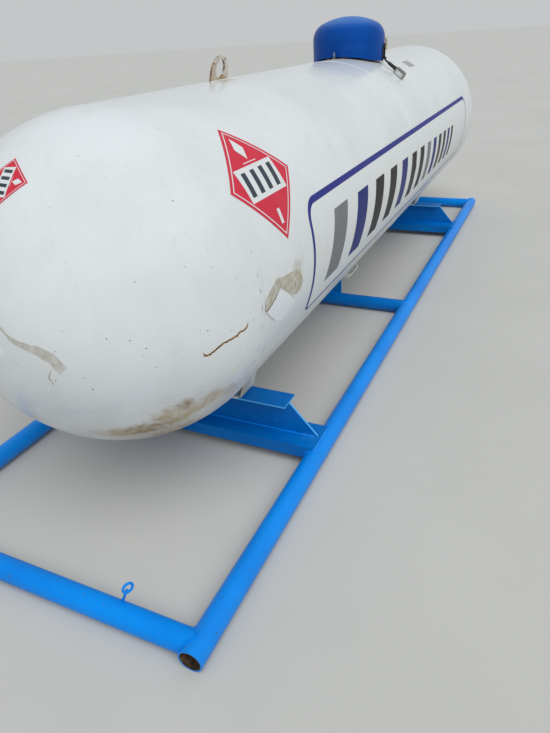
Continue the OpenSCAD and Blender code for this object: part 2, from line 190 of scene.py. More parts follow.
# %% [markdown]
# ## White enamel on the tank
# The tank is sprayed with a two-part white enamel over steel, which dries to a satin film
# (roughness 0.20) with the default IOR of 1.5. Years outside leave four things on it:
# faint streaks where rain ran down, each a few centimetres wide, a beige dust that gets
# thicker and duller (roughness 0.55) towards the belly, a slow waviness of the rolled plate
# that shows in the highlight, and rust stains at known places. The beige towards the belly
# is also painted shade and a painted reflection of brown ground under the tank. Each is a
# mask on Object coordinates.
#
# A stain could be painted on an image, but that would tie it to a UV map. Instead, each is a
# distance from its place, with a noise added so that its edge is ragged.

# %% Stains: place, reach and strength
OCHRE, BROWN, GREY = "#ac9565", "#8f7345", "#a39d8e"
SATIN, DUSTY = 0.20, 0.55  # roughness of the clean film and of the dusty belly
HEAD_STAINS = [
    ((-2.205, -0.165, 0.425), (0.060, 0.070, 0.045), 0.50, OCHRE),
    ((-2.175, -0.205, 0.428), (0.060, 0.065, 0.050), 0.85, OCHRE),
    ((-2.152, -0.245, 0.432), (0.060, 0.060, 0.050), 0.90, BROWN),
    ((-2.120, -0.290, 0.440), (0.060, 0.060, 0.050), 0.90, BROWN),
    ((-2.085, -0.335, 0.455), (0.060, 0.050, 0.045), 0.85, OCHRE),
    ((-2.045, -0.380, 0.480), (0.050, 0.050, 0.040), 0.75, OCHRE),
    ((-2.012, -0.415, 0.500), (0.045, 0.040, 0.035), 0.60, OCHRE),
    ((-1.950, -0.440, 0.480), (0.060, 0.040, 0.040), 0.50, OCHRE),
    ((-2.135, -0.330, 0.490), (0.045, 0.045, 0.040), 0.75, OCHRE),
    ((-2.099, -0.372, 0.512), (0.035, 0.035, 0.035), 0.90, BROWN),
    ((-2.060, -0.270, 0.360), (0.130, 0.120, 0.060), 0.80, BROWN),
    ((-2.250, -0.090, 0.400), (0.080, 0.090, 0.040), 0.35, GREY),
]
SHELL_STAINS = [
    ((-1.600, -0.520, 0.757), (0.055, 0.040, 0.035), 0.55, GREY),
    ((-1.850, -0.480, 0.560), (0.050, 0.040, 0.090), 0.35, OCHRE),
    ((-1.060, -0.012, 1.267), (0.055, 0.045, 0.020), 0.80, OCHRE),
    ((-1.120, -0.050, 1.265), (0.060, 0.060, 0.020), 0.30, OCHRE),
    ((1.260, 0.000, 1.267), (0.080, 0.050, 0.020), 0.45, OCHRE),
    ((-1.577, -0.310, 0.330), (0.090, 0.030, 0.020), 0.40, BROWN),
    ((1.279, -0.310, 0.330), (0.090, 0.030, 0.020), 0.40, BROWN),
]


# %% The enamel, with one set of stains for the ends and one for the shell
def white_enamel(name, stains):
    """Sprayed white enamel: satin, faintly wavy, with rain streaks, dust and painted shade towards the
    belly, and ragged stains.
    """
    material, tree, shader, place = new_material(name, SATIN)
    patches = mottle(tree, place, 2.2, 0.35, 0.75)
    colour = coat(tree, "#e0e3e2", "#d6d9d7", patches)
    # Rain streaks: a noise about 3 cm wide, drawn out ten times in height
    streaks = mottle(tree, place, 9.0, 0.52, 0.80, stretch=(2.6, 2.6, 0.25))
    colour = coat(tree, colour, "#b7b2a6", streaks, 0.13)
    # Dust and painted shade: darker and warmer from the middle of the tank down to its belly, also a
    # painted reflection of brown ground
    height = add_node(tree, "ShaderNodeSeparateXYZ", inputs={0: place}).outputs["Z"]
    low = add_node(
        tree,
        "ShaderNodeMapRange",
        {"interpolation_type": "SMOOTHSTEP"},
        {"Value": height, "From Min": axis_z - 0.05, "From Max": axis_z - tank_r},
    ).outputs["Result"]
    patchy = mottle(tree, place, 6.0, 0.20, 0.75)
    colour = coat(tree, colour, "#a79b82", low, patchy, 0.85)
    dulled = add_node(
        tree, "ShaderNodeMapRange", inputs={"Value": low, "To Min": SATIN, "To Max": DUSTY}
    ).outputs["Result"]
    tree.links.new(dulled, shader.inputs["Roughness"])
    # Blue overspray on the legs' feet, from when the skid was painted
    foot_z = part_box("leg_near_left")[0].z
    near_foot = add_node(
        tree,
        "ShaderNodeMapRange",
        {"interpolation_type": "SMOOTHSTEP"},
        {"Value": height, "From Min": foot_z + 0.022, "From Max": foot_z + 0.002},
    ).outputs["Result"]
    colour = coat(tree, colour, "#3f86bf", near_foot, mottle(tree, place, 45.0, 0.25, 0.6), 0.8)
    # Small chips and spatter of a few millimetres
    specks = mottle(tree, place, 75.0, 0.775, 0.80, detail=1)
    colour = coat(tree, colour, "#7d766c", specks, 0.45)
    # Stains with ragged edges
    ragged = add_node(
        tree,
        "ShaderNodeTexNoise",
        inputs={"Vector": place, "Scale": 38.0, "Detail": 5.0, "Roughness": 0.65},
    ).outputs["Color"]
    shifted = add_node(
        tree,
        "ShaderNodeVectorMath",
        {"operation": "MULTIPLY_ADD"},
        {0: ragged, 1: (1.5, 1.5, 1.5), 2: (-0.75, -0.75, -0.75)},
    ).outputs[0]
    grain = mottle(tree, place, 48.0, 0.30, 0.62, stretch=(1, 1, 0.6), detail=6)
    grain = add_node(
        tree, "ShaderNodeMapRange", inputs={"Value": grain, "To Min": 0.35, "To Max": 1.0}
    ).outputs["Result"]
    for centre, reach, strength, tint in stains:
        away = add_node(tree, "ShaderNodeVectorMath", {"operation": "SUBTRACT"}, {0: place, 1: centre})
        scaled = add_node(
            tree, "ShaderNodeVectorMath", {"operation": "DIVIDE"}, {0: away.outputs[0], 1: reach}
        )
        torn = add_node(
            tree, "ShaderNodeVectorMath", {"operation": "ADD"}, {0: scaled.outputs[0], 1: shifted}
        )
        far = add_node(tree, "ShaderNodeVectorMath", {"operation": "LENGTH"}, {0: torn.outputs[0]})
        mask = add_node(
            tree,
            "ShaderNodeMapRange",
            {"interpolation_type": "SMOOTHSTEP"},
            {"Value": far.outputs["Value"], "From Min": 1.15, "From Max": 0.35, "To Max": strength},
        ).outputs["Result"]
        colour = coat(tree, colour, tint, mask, grain)
    # The plate's waviness: 20 cm long and about a millimetre deep
    waves = mottle(tree, place, 5.0, 0.0, 1.0, detail=1)
    finish(tree, shader, colour, waves, 0.004, 0.35)
    return material


enamel_head = white_enamel("white_enamel_head", HEAD_STAINS)
enamel_shell = white_enamel("white_enamel_shell", SHELL_STAINS)
print("white enamel has", len(enamel_shell.node_tree.nodes), "nodes")

# %% [markdown]
# ## Blue enamel on the skid and the hood
# The skid's pipes are brushed and sprayed with a bright blue machinery enamel. It is satin
# (roughness 0.42, and 0.36 on the hood), with faint brush marks, scuffs where straps rubbed
# it paler, and brown dust on the lowest centimetres, where splashes reach. The pieces under
# the tank get a darker blue, which is painted shade, and the cut edges of the caps and plates
# a paler blue, which is painted highlight. The hood has a deeper blue of the same kind, paler
# on its crown: a little fading, and a painted highlight on its top.


# %% Blue enamel
def blue_enamel(
    name, body, pale, deep, dust_top, roughness, inside=False, edge=None, crown=None, worn=0.45,
    sheen=0.15,
):
    """Blue machinery enamel with slow colour changes, scuffs and dust below a height."""
    material, tree, shader, place = new_material(name, roughness)
    shader.inputs["Specular IOR Level"].default_value = sheen
    slow = mottle(tree, place, 3.0, 0.30, 0.75)
    colour = coat(tree, body, deep, slow)
    # Scuffs: a few centimetres across, where the paint is rubbed pale
    scuffs = mottle(tree, place, 14.0, 0.62, 0.80, stretch=(0.5, 0.5, 1.0))
    colour = coat(tree, colour, pale, scuffs, worn)
    fine = mottle(tree, place, 120.0, 0.66, 0.74, detail=2)
    colour = coat(tree, colour, pale, fine, 0.25)
    height = add_node(tree, "ShaderNodeSeparateXYZ", inputs={0: place}).outputs["Z"]
    low = add_node(
        tree,
        "ShaderNodeMapRange",
        {"interpolation_type": "SMOOTHSTEP"},
        {"Value": height, "From Min": dust_top, "From Max": dust_top - 0.045},
    ).outputs["Result"]
    splashes = mottle(tree, place, 25.0, 0.35, 0.70)
    colour = coat(tree, colour, "#8d8069", low, splashes, 0.6)
    if crown:
        # The hood's crown is paler: a little fading, and a painted highlight on its top
        paler = add_node(
            tree,
            "ShaderNodeMapRange",
            {"interpolation_type": "SMOOTHSTEP"},
            {"Value": height, "From Min": crown - 0.07, "From Max": crown, "To Max": 0.7},
        ).outputs["Result"]
        colour = coat(tree, colour, pale, paler)
    if edge:
        # Painted highlight: the cut edges of the plates are paler blue, as where they catch the light
        facing = add_node(tree, "ShaderNodeNewGeometry").outputs["Normal"]
        across = add_node(tree, "ShaderNodeSeparateXYZ", inputs={0: facing}).outputs[edge]
        flat = add_node(tree, "ShaderNodeMath", {"operation": "ABSOLUTE"}, {0: across}).outputs[0]
        rim = add_node(
            tree,
            "ShaderNodeMapRange",
            inputs={"Value": flat, "From Min": 0.6, "From Max": 0.4, "To Max": 0.85},
        ).outputs["Result"]
        colour = coat(tree, colour, "#5cb6f2", rim)
    if inside:
        # The runners' open ends show their unpainted bore
        split = add_node(tree, "ShaderNodeSeparateXYZ", inputs={0: place}).outputs
        wide = add_node(tree, "ShaderNodeMath", {"operation": "ABSOLUTE"}, {0: split["Y"]}).outputs[0]
        off = add_node(tree, "ShaderNodeMath", {"operation": "SUBTRACT"}, {0: wide, 1: runner_y})
        up = add_node(tree, "ShaderNodeMath", {"operation": "SUBTRACT"}, {0: split["Z"], 1: pipe_r})
        flat = add_node(tree, "ShaderNodeCombineXYZ", inputs={0: off.outputs[0], 1: up.outputs[0]})
        axis = add_node(tree, "ShaderNodeVectorMath", {"operation": "LENGTH"}, {0: flat.outputs[0]})
        bore = add_node(
            tree,
            "ShaderNodeMath",
            {"operation": "LESS_THAN"},
            {0: axis.outputs["Value"], 1: pipe_r - 0.0048},
        ).outputs[0]
        rusty = coat(tree, "#39322b", "#66503a", mottle(tree, place, 60.0, 0.4, 0.65))
        colour = coat(tree, colour, rusty, bore)
    # Brush marks about 4 mm apart along the pipe
    brush = mottle(tree, place, 240.0, 0.2, 0.8, stretch=(0.1, 0.1, 1.0), detail=2)
    finish(tree, shader, colour, brush, 0.0004, 0.25)
    return material


SKID = ("#008cec", "#4cabee", "#007edc", 0.040, 0.42)
# A darker blue for the pieces under the tank: painted shade, where the tank shades them
UNDER_TANK_SHADE = ("#0073c6", "#3c95d6", "#0065b4", 0.040, 0.42)  # the pieces under the tank
enamel_skid = blue_enamel("blue_enamel_skid", *SKID)
enamel_under_tank_shade = blue_enamel("blue_enamel_under_tank_shade", *UNDER_TANK_SHADE)
enamel_runner = blue_enamel("blue_enamel_runner", *SKID, inside=True, sheen=0.32)
enamel_cap_shade_and_edge_highlight = blue_enamel("blue_enamel_cap_shade_and_edge_highlight", *UNDER_TANK_SHADE, edge="Z")
enamel_plate_shade_and_edge_highlight = blue_enamel("blue_enamel_plate_shade_and_edge_highlight", *UNDER_TANK_SHADE, edge="X")
# A paler blue for the beads on the runners' tops at the channels' ends
pale_blue_weld = blue_enamel("pale_blue_weld", "#2f9bea", "#a9d3f0", "#1788dc", 0.0, 0.4)
enamel_hood = blue_enamel(
    "blue_enamel_hood", "#00479c", "#3f80cc", "#003e8a", 0.0, 0.36, crown=hood_high.z, worn=0.12
)
print("blue enamel: skid and hood")

# %% [markdown]
# ## Metals, rubber and plastics
# A welded seam is painted over with the tank, but its ripples and the edges of the lugs rust
# first, where the film is thinnest. Bare fittings are zinc-plated steel and cast brass, both
# dulled. The cable and the edging of the hood are black rubber, which stays matt.


# %% Rusting enamel, plated steel, brass
def worn_enamel(name, rust_low, rust_high, ripple=0.0, body="#dadcdb", grimy="#c6c5bf"):
    """White enamel that rusts through, with ripples, on the weld beads."""
    material, tree, shader, place = new_material(name, 0.45)
    slow = mottle(tree, place, 10.0, 0.3, 0.7)
    colour = coat(tree, body, grimy, slow)
    rust = mottle(tree, place, 34.0, rust_low, rust_high, detail=6)
    tint = coat(tree, "#8a5a2c", "#5d4430", mottle(tree, place, 90.0, 0.35, 0.65))
    colour = coat(tree, colour, tint, rust)
    rough = add_node(
        tree, "ShaderNodeMapRange", inputs={"Value": rust, "To Min": 0.4, "To Max": 0.85}
    )
    tree.links.new(rough.outputs["Result"], shader.inputs["Roughness"])
    ripples = mottle(tree, place, 260.0, 0.2, 0.8, detail=2)
    finish(tree, shader, colour, ripples, 0.0008, 0.3 + ripple)
    return material


def metal(name, hex_colour, stain, roughness, stain_low=0.5):
    """A dulled metal with darker, rougher stains."""
    material, tree, shader, place = new_material(name, roughness, metallic=1.0)
    stains = mottle(tree, place, 55.0, stain_low, stain_low + 0.22, detail=5)
    rough = add_node(
        tree,
        "ShaderNodeMapRange",
        inputs={"Value": stains, "To Min": roughness, "To Max": min(1.0, roughness + 0.3)},
    )
    tree.links.new(rough.outputs["Result"], shader.inputs["Roughness"])
    grain = mottle(tree, place, 400.0, 0.2, 0.8, detail=2)
    finish(tree, shader, coat(tree, hex_colour, stain, stains), grain, 0.0004, 0.2)
    return material


def lug_enamel():
    """A lug: greyish enamel, rusted along its cut edge, in its hole and at its foot."""
    material, tree, shader, place = new_material("worn_enamel_lug", 0.5)
    slow = mottle(tree, place, 18.0, 0.3, 0.7)
    colour = coat(tree, "#d9d2c6", "#c6baa9", slow)
    rust = coat(tree, "#5d4636", "#86603f", mottle(tree, place, 110.0, 0.4, 0.62))
    # The flame-cut edge faces sideways, the flat faces look along Y
    facing = add_node(tree, "ShaderNodeNewGeometry").outputs["Normal"]
    split = add_node(tree, "ShaderNodeSeparateXYZ", inputs={0: facing}).outputs["Y"]
    flat = add_node(tree, "ShaderNodeMath", {"operation": "ABSOLUTE"}, {0: split}).outputs[0]
    edge = add_node(
        tree, "ShaderNodeMapRange", inputs={"Value": flat, "From Min": 0.8, "From Max": 0.6}
    ).outputs["Result"]
    worn = mottle(tree, place, 60.0, 0.30, 0.55)
    colour = coat(tree, colour, rust, edge, worn, 0.9)
    height = add_node(tree, "ShaderNodeSeparateXYZ", inputs={0: place}).outputs["Z"]
    foot = add_node(
        tree,
        "ShaderNodeMapRange",
        {"interpolation_type": "SMOOTHSTEP"},
        {"Value": height, "From Min": top_z + 0.022, "From Max": top_z + 0.002},
    ).outputs["Result"]
    runs = mottle(tree, place, 40.0, 0.35, 0.6)
    colour = coat(tree, colour, "#a98a55", foot, runs)
    blots = mottle(tree, place, 34.0, 0.60, 0.68, detail=6)
    colour = coat(tree, colour, rust, blots, 0.8)
    pits = mottle(tree, place, 200.0, 0.2, 0.8, detail=2)
    finish(tree, shader, colour, pits, 0.0008, 0.4)
    return material


worn_lug = lug_enamel()
worn_weld = worn_enamel("worn_enamel_weld", 0.58, 0.70, ripple=0.2)
# The middle seam's bead is whiter than the shell: a painted highlight along its ridge
mid_seam_weld_highlight = worn_enamel("mid_seam_enamel_painted_highlight", 0.72, 0.80, ripple=0.1, body="#eceeee", grimy="#dfe1e0")
seam_weld = worn_enamel("seam_enamel_weld", 0.72, 0.80, ripple=0.1, body="#e0e3e2", grimy="#d6d9d7")
plated = metal("zinc_plated_steel", "#c4c5c2", "#8d877b", 0.42)
plate_metal = metal("dull_stainless_plate", "#dcdcd8", "#b3b1aa", 0.5, 0.6)
cast_brass = metal("cast_brass", "#b8924a", "#7d6233", 0.36)


# %% Rubber and plastics
def moulded(name, hex_colour, pale, roughness, grain):
    """Moulded rubber or plastic with a fine grain and a bloom of pale dust."""
    material, tree, shader, place = new_material(name, roughness)
    bloom = mottle(tree, place, 30.0, 0.45, 0.8)
    pores = mottle(tree, place, 900.0, 0.2, 0.8, detail=2)
    finish(tree, shader, coat(tree, hex_colour, pale, bloom, 0.5), pores, 0.0003, grain)
    return material


black_rubber = moulded("black_rubber", "#17181a", "#34342f", 0.62, 0.3)
cable_rubber = moulded("cable_rubber", "#141517", "#2c2c2a", 0.50, 0.2)
black_nylon = moulded("black_nylon", "#1b1c1f", "#3a3a38", 0.42, 0.2)
grey_abs = moulded("grey_abs_box", "#807f78", "#979690", 0.5, 0.1)
white_label = moulded("white_paper_label", "#eceeee", "#d9d9d2", 0.6, 0.1)
print("metals and plastics:", worn_lug.name, plated.name, cast_brass.name, grey_abs.name)

# %% [markdown]
# ## Paint the CAD nodes
# Every CAD node keeps its mesh. Only the material in its slot is exchanged, so the frame and
# what is seen have the same shape.

# %% One material for each slot of the record
PAINT = {
    "skid_blue": enamel_skid,
    "tank_white": enamel_shell,
    "head_white": enamel_head,
    "weld_white": worn_weld,
    "lug_white": worn_lug,
    "hood_blue": enamel_hood,
    "bare_steel": plated,
    "brass": cast_brass,
    "gauge_dark": black_nylon,
    "box_plastic": grey_abs,
    "black_plastic": black_nylon,
    "cable_black": cable_rubber,
    "plate_steel": plate_metal,
    "black_rubber": black_rubber,
}
# The pieces under the tank get the darker blue of painted shade; caps and plates also get a painted
# highlight on their cut edges
SPECIAL = {
    "runner_": enamel_runner,
    "saddle_cap_": enamel_cap_shade_and_edge_highlight,
    "saddle_plate_": enamel_plate_shade_and_edge_highlight,
    "saddle_channel_": enamel_under_tank_shade,
    "mid_pipe": enamel_under_tank_shade,
    "mid_plate": enamel_plate_shade_and_edge_highlight,
}
for name, node in nodes.items():
    for holder in node.material_slots:
        holder.material = PAINT[holder.material.name.split(".")[0]]
        for start, paint in SPECIAL.items():
            if name.startswith(start):
                holder.material = paint
print("painted:", sorted(PAINT))

# %% [markdown]
# ## Laying flat shapes on the tank
# Film, paper and tape follow the tank's skin. A shrinkwrap modifier could pull them there,
# but a formula is exact: every point moves along the line from the tank's axis, or from the
# middle of its end, to the skin. A flat outline is first cut into a grid of small faces, so
# that it can bend.


# %% Helpers for shapes on the skin
def from_axis(point):
    """The nearest place on the tank's axis, and the direction from there to a point."""
    centre = Vector((min(max(point.x, near_seam), far_seam), 0, axis_z))
    return centre, (point - centre).normalized()


def on_skin(point, lift=0.0):
    """The place on the tank's outside that lies nearest, raised by lift."""
    centre, out = from_axis(point)
    return centre + out * (tank_r + lift)


def mesh_piece(name, verts, faces, material, body="tank", smooth=True):
    """A mesh piece that rides on a body."""
    mesh = bpy.data.meshes.new(name)
    mesh.from_pydata([tuple(v) for v in verts], [], faces)
    mesh.materials.append(material)
    mesh.polygons.foreach_set("use_smooth", [smooth] * len(mesh.polygons))
    mesh.update()
    piece = bpy.data.objects.new(name, mesh)
    bpy.context.scene.collection.objects.link(piece)
    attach(piece, body)
    return piece


def grid_cut(outlines, step):
    """Flat outlines as points and small faces."""
    bm = bmesh.new()
    for outline in outlines:
        bm.faces.new([bm.verts.new((u, v, 0)) for u, v in outline])
    bmesh.ops.triangulate(bm, faces=bm.faces[:], ngon_method="EAR_CLIP")
    for axis in (0, 1):
        values = [v.co[axis] for v in bm.verts]
        low, count = min(values), int((max(values) - min(values)) / step)
        for i in range(1, count + 1):
            at, normal = [0, 0, 0], [0, 0, 0]
            at[axis], normal[axis] = low + i * step, 1
            geometry = bm.verts[:] + bm.edges[:] + bm.faces[:]
            bmesh.ops.bisect_plane(bm, geom=geometry, plane_co=at, plane_no=normal)
    bmesh.ops.remove_doubles(bm, verts=bm.verts[:], dist=1e-5)
    bm.verts.index_update()
    points = [(v.co.x, v.co.y) for v in bm.verts]
    faces = [[v.index for v in f.verts] for f in bm.faces if f.calc_area() > 1e-9]
    bm.free()
    return points, faces


SEAM_SHIFT = -0.028  # the near and middle seams show this much nearer in the photograph
BEAD_X = [x + SEAM_SHIFT for x in (near_seam, (near_seam + far_seam) / 2, far_seam)]
BEAD_WIDTH, BEAD_HEIGHT = 0.009, 0.0012


def over_bead(x):
    """How far a film is raised where it runs over a weld bead."""
    away = min(abs(x - bead) for bead in BEAD_X)
    return max(0.0, (BEAD_HEIGHT + 0.0003) * (1 - (away / (0.9 * BEAD_WIDTH)) ** 2))


def skin_piece(name, outlines, place, lift, material, step=0.012):
    """Flat outlines laid on the tank. place turns two flat sizes into a point near the skin."""
    points, faces = grid_cut(outlines, step)
    bm = bmesh.new()
    corners = [bm.verts.new(place(u, v)) for u, v in points]
    for face in faces:
        bm.faces.new([corners[i] for i in face])
    for bead in BEAD_X:
        for k in range(-2, 3):
            geometry = bm.verts[:] + bm.edges[:] + bm.faces[:]
            cut = (bead + k * BEAD_WIDTH * 0.45, 0, 0)
            bmesh.ops.bisect_plane(bm, geom=geometry, plane_co=cut, plane_no=(1, 0, 0))
    bm.verts.index_update()
    verts = [on_skin(v.co, lift + over_bead(v.co.x)) for v in bm.verts]
    faces = [[v.index for v in f.verts] for f in bm.faces]
    bm.free()
    for face in faces:
        a, b, c = (verts[i] for i in face[:3])
        if (b - a).cross(c - a).dot(from_axis(a)[1]) < 0:
            face.reverse()
    return mesh_piece(name, verts, faces, material)


def on_shell(u, v):
    """u along the shell from the near seam, v up its side from the level of the axis."""
    angle = v / tank_r
    return Vector(
        (near_seam + u, -tank_r * math.cos(angle), axis_z + tank_r * math.sin(angle))
    )


def rounded(u0, v0, u1, v1, radius, low_radius=None, steps=8):
    """A rectangle's outline with rounded corners, the lower two with a radius of their own."""
    low = low_radius or radius
    outline = []
    for cu, cv, start, radius in (
        (u1 - radius, v1 - radius, 0, radius),
        (u0 + radius, v1 - radius, 90, radius),
        (u0 + low, v0 + low, 180, low),
        (u1 - low, v0 + low, 270, low),
    ):
        for i in range(steps + 1):
            a = math.radians(start + 90 * i / steps)
            outline.append((cu + radius * math.cos(a), cv + radius * math.sin(a)))
    return outline


print("a point on the skin:", [round(c, 3) for c in on_skin(on_shell(0.2, 0.3))])

# %% [markdown]
# ## Where the camera stood
# Marks are easiest to find in the photograph, so its camera comes before them. Its place,
# direction and lens were fitted to outlines in the photograph, with the tank's diameter held
# at 1041 mm. Its axes are built from a heading, a downward pitch and a small roll.
#
# The line of sight through a point of the photograph meets the tank at one place: on the
# ball of its near end, or else on the straight shell. The two are found in the same way,
# because the shell, looked at along its axis, is a circle as well.

# %% The camera, and where a point of the photograph lies on the tank
CAMERA_PLACE = Vector((-3.2311, -1.2264, 1.4076))
HEADING, PITCH, ROLL = 0.461467, 0.516235, -0.0665844
FOCAL_PIXELS, PHOTO_WIDTH, PHOTO_HEIGHT = 584.328, 550, 733
sight_ahead = Vector(
    (math.cos(HEADING) * math.cos(PITCH), math.sin(HEADING) * math.cos(PITCH), -math.sin(PITCH))
)
level = Vector((math.sin(HEADING), -math.cos(HEADING), 0))
upward = level.cross(sight_ahead)
sight_right = math.cos(ROLL) * level + math.sin(ROLL) * upward
sight_up = math.cos(ROLL) * upward - math.sin(ROLL) * level


def seen_on_tank(across, down):
    """The place on the tank, to a millimetre, that shows at a point of the photograph."""
    sight = sight_ahead * FOCAL_PIXELS
    sight += sight_right * (across - PHOTO_WIDTH / 2) - sight_up * (down - PHOTO_HEIGHT / 2)
    sight.normalize()
    from_ball = CAMERA_PLACE - Vector((near_seam, 0, axis_z))
    for keep in (Vector((1, 1, 1)), Vector((0, 1, 1))):
        start, way = from_ball * keep, sight * keep
        a, b = way.dot(way), start.dot(way)
        inside = b * b - a * (start.dot(start) - tank_r**2)
        if inside < 0:
            continue
        place = CAMERA_PLACE + sight * (-b - math.sqrt(inside)) / a
        if keep.x == 0 or place.x <= near_seam:
            return tuple(round(c, 3) for c in place)


def all_seen(points):
    """Several points of the photograph as places on the tank."""
    return [seen_on_tank(*point) for point in points]


print("the point 60 across and 250 down lies on the tank at", seen_on_tank(60, 250))

# %% [markdown]
# ## Printed film
# A long panel of film covers the side: a white field in a blue line, 24 mm thick at the top,
# 17 mm at the near end and 9 mm elsewhere. Its field holds a plain pattern of slanted bars in
# grey, navy and near-black. Two diamonds of red film have a thin white line and a white
# field. All are cast vinyl film, which is satin and shows faint scratches and faded spots.


# %% Film colours
def vinyl(name, hex_colour, paler):
    """Cast vinyl film with a little fading and fine grime."""
    material, tree, shader, place = new_material(name, 0.42)
    shader.inputs["Specular IOR Level"].default_value = 0.12
    fade = mottle(tree, place, 12.0, 0.45, 0.85)
    colour = coat(tree, hex_colour, paler, fade, 0.5)
    grime = mottle(tree, place, 60.0, 0.70, 0.78, detail=2)
    colour = coat(tree, colour, "#8d867a", grime, 0.35)
    creases = mottle(tree, place, 45.0, 0.2, 0.8, detail=2)
    finish(tree, shader, colour, creases, 0.0006, 0.2)
    return material


film_white = vinyl("vinyl_white", "#dddfdd", "#d2d2cc")
film_blue = vinyl("vinyl_line_blue", "#252c80", "#3f4690")
film_navy = vinyl("vinyl_navy", "#15266f", "#26367c")
film_grey = vinyl("vinyl_grey", "#75787a", "#86888a")
film_dark = vinyl("vinyl_dark", "#211f1d", "#343230")
film_slate = vinyl("vinyl_slate", "#39444c", "#4a545b")
film_red = vinyl("vinyl_red", "#cf3346", "#d5505f")

# %% The panel: field, line and bars
PANEL = dict(u0=0.362, v0=-0.222, u1=3.530, v1=0.188)
THICK, SIDE, THIN = 0.024, 0.017, 0.009
outer = rounded(PANEL["u0"], PANEL["v0"], PANEL["u1"], PANEL["v1"], 0.075, 0.035)
inner = rounded(
    PANEL["u0"] + SIDE, PANEL["v0"] + THIN, PANEL["u1"] - THIN, PANEL["v1"] - THICK, 0.055, 0.020
)
skin_piece("panel_field", [outer], on_shell, 0.0005, film_white, step=0.02)
ring = []
for i in range(len(outer)):
    j = (i + 1) % len(outer)
    ring.append([outer[i], outer[j], inner[j], inner[i]])
skin_piece("panel_line", ring, on_shell, 0.0008, film_blue, step=0.02)


def bar(u, width, low, high, slant=0.35):
    """A bar that leans along the tank."""
    return [
        (u + low * slant, low),
        (u + width + low * slant, low),
        (u + width + high * slant, high),
        (u + high * slant, high),
    ]


# One row of slanted stripes, each narrower and shorter than the one before
ROW_START, ROW_END, TAPER = 0.56, 2.95, 2.4
GREY_FILM, NAVY_FILM, DARK_FILM = 0, 1, 2
KINDS = (GREY_FILM, NAVY_FILM, DARK_FILM, DARK_FILM, NAVY_FILM, DARK_FILM, DARK_FILM)
rows, stripe_u, count = ([], [], []), ROW_START, 0
while stripe_u < ROW_END:
    share = (stripe_u - ROW_START) / TAPER
    width = 0.15 - 0.085 * share
    rows[KINDS[count % len(KINDS)]].append((stripe_u, width, -0.15 + 0.02 * share, 0.10 - 0.05 * share))
    stripe_u += width * 1.85
    count += 1
BARS = {
    "panel_bars_grey": (film_grey, rows[0]),
    "panel_bars_navy": (film_navy, rows[1]),
    "panel_bars_dark": (film_dark, rows[2]),
}
for name, (film, bars) in BARS.items():
    skin_piece(name, [bar(*b) for b in bars], on_shell, 0.0008, film, step=0.02)
print("panel:", round(PANEL["u1"] - PANEL["u0"], 3), "m long")


# %% The diamonds: red field, white line, white middle
def diamond(name, place, side):
    """A square of red film stood on its corner, with a white line and a white middle."""
    half = side / math.sqrt(2)

    def square(reach):
        return [(reach, 0), (0, reach), (-reach, 0), (0, -reach)]

    skin_piece(name + "_red", [square(half)], place, 0.0006, film_red)
    line = []
    wide, narrow = square(half * 0.925), square(half * 0.895)
    for i in range(4):
        j = (i + 1) % 4
        line.append([wide[i], wide[j], narrow[j], narrow[i]])
    skin_piece(name + "_line", line, place, 0.0009, film_white)
    w, h = half * 0.60, half * 0.27
    skin_piece(name + "_field", [bar(-w, 2 * w, -h, h, 0)], place, 0.0009, film_white)
    # Plain shapes: four dark bars in the field, a white lozenge above it and a short bar below
    lean = 0.08 * w / (1.44 * h)
    bars = [bar(w * (-0.82 + 0.47 * i), w * 0.22, -h * 0.72, h * 0.72, lean) for i in range(4)]
    skin_piece(name + "_bars", bars, place, 0.0012, film_slate)
    top, low = half * 0.56, -half * 0.62
    lozenge = [(half * 0.13, top), (0, top + half * 0.22), (-half * 0.13, top), (0, top - half * 0.20)]
    line = bar(-half * 0.2, half * 0.4, half * 0.31, half * 0.325, 0)
    tail = bar(-half * 0.045, half * 0.09, low - half * 0.12, low + half * 0.12, 0)
    skin_piece(name + "_marks", [lozenge, line, tail], place, 0.0009, film_white)


SHELL_DIAMOND = (0.184, 0.309)
diamond(
    "diamond_shell",
    lambda u, v: on_shell(SHELL_DIAMOND[0] + u, SHELL_DIAMOND[1] + v),
    0.273,
)


def head_diamond(u, v):
    """Flat sizes high on the near end."""
    top, right = Vector(seen_on_tank(15.8, 157.8)), Vector(seen_on_tank(28.3, 182.8))
    out = ((top + right) / 2 - Vector((near_seam, 0, axis_z))).normalized()
    edge = (right - top).normalized()
    down = -out.cross(edge)
    size = (right - top).length
    centre = (top + right) / 2 + down * size / 2
    across, up = (edge + down).normalized(), (edge * -1 + down * 1).normalized() * -1
    return centre + across * u + up * v


diamond("diamond_head", head_diamond, 0.103)
print("diamonds: 273 mm on the shell and 103 mm on the near end")

# %% [markdown]
# ## Old tape, a cleaner patch and a rust line
# Where labels were torn off, strips of paper and tan glue remain on the near end and beside
# the first seam, and the paint that a label protected is whiter. A scratch on the near end
# has rusted into a dark, crooked line. These marks have sharp edges, so they are thin meshes
# of their own, while the soft stains round them are in the enamel.


# %% Materials for glue, clean paint and rust
def glue(name, tan, pale, dark):
    """Dried glue with torn paper in it: blotches of three shades."""
    material, tree, shader, place = new_material(name, 0.7)
    cream = mottle(tree, place, 40.0, 0.35, 0.66)
    olive = mottle(tree, place, 65.0, 0.50, 0.70)
    colour = coat(tree, coat(tree, tan, pale, cream), dark, olive, 0.6)
    finish(tree, shader, colour, cream, 0.0012, 0.6)
    return material


def rust():
    """Flaking iron oxide: dark brown with orange grains, and fully matt."""
    material, tree, shader, place = new_material("flaking_rust", 0.9)
    grains = mottle(tree, place, 160.0, 0.45, 0.65)
    finish(tree, shader, coat(tree, "#331b0d", "#6d3c1a", grains), grains, 0.001, 0.6)
    return material


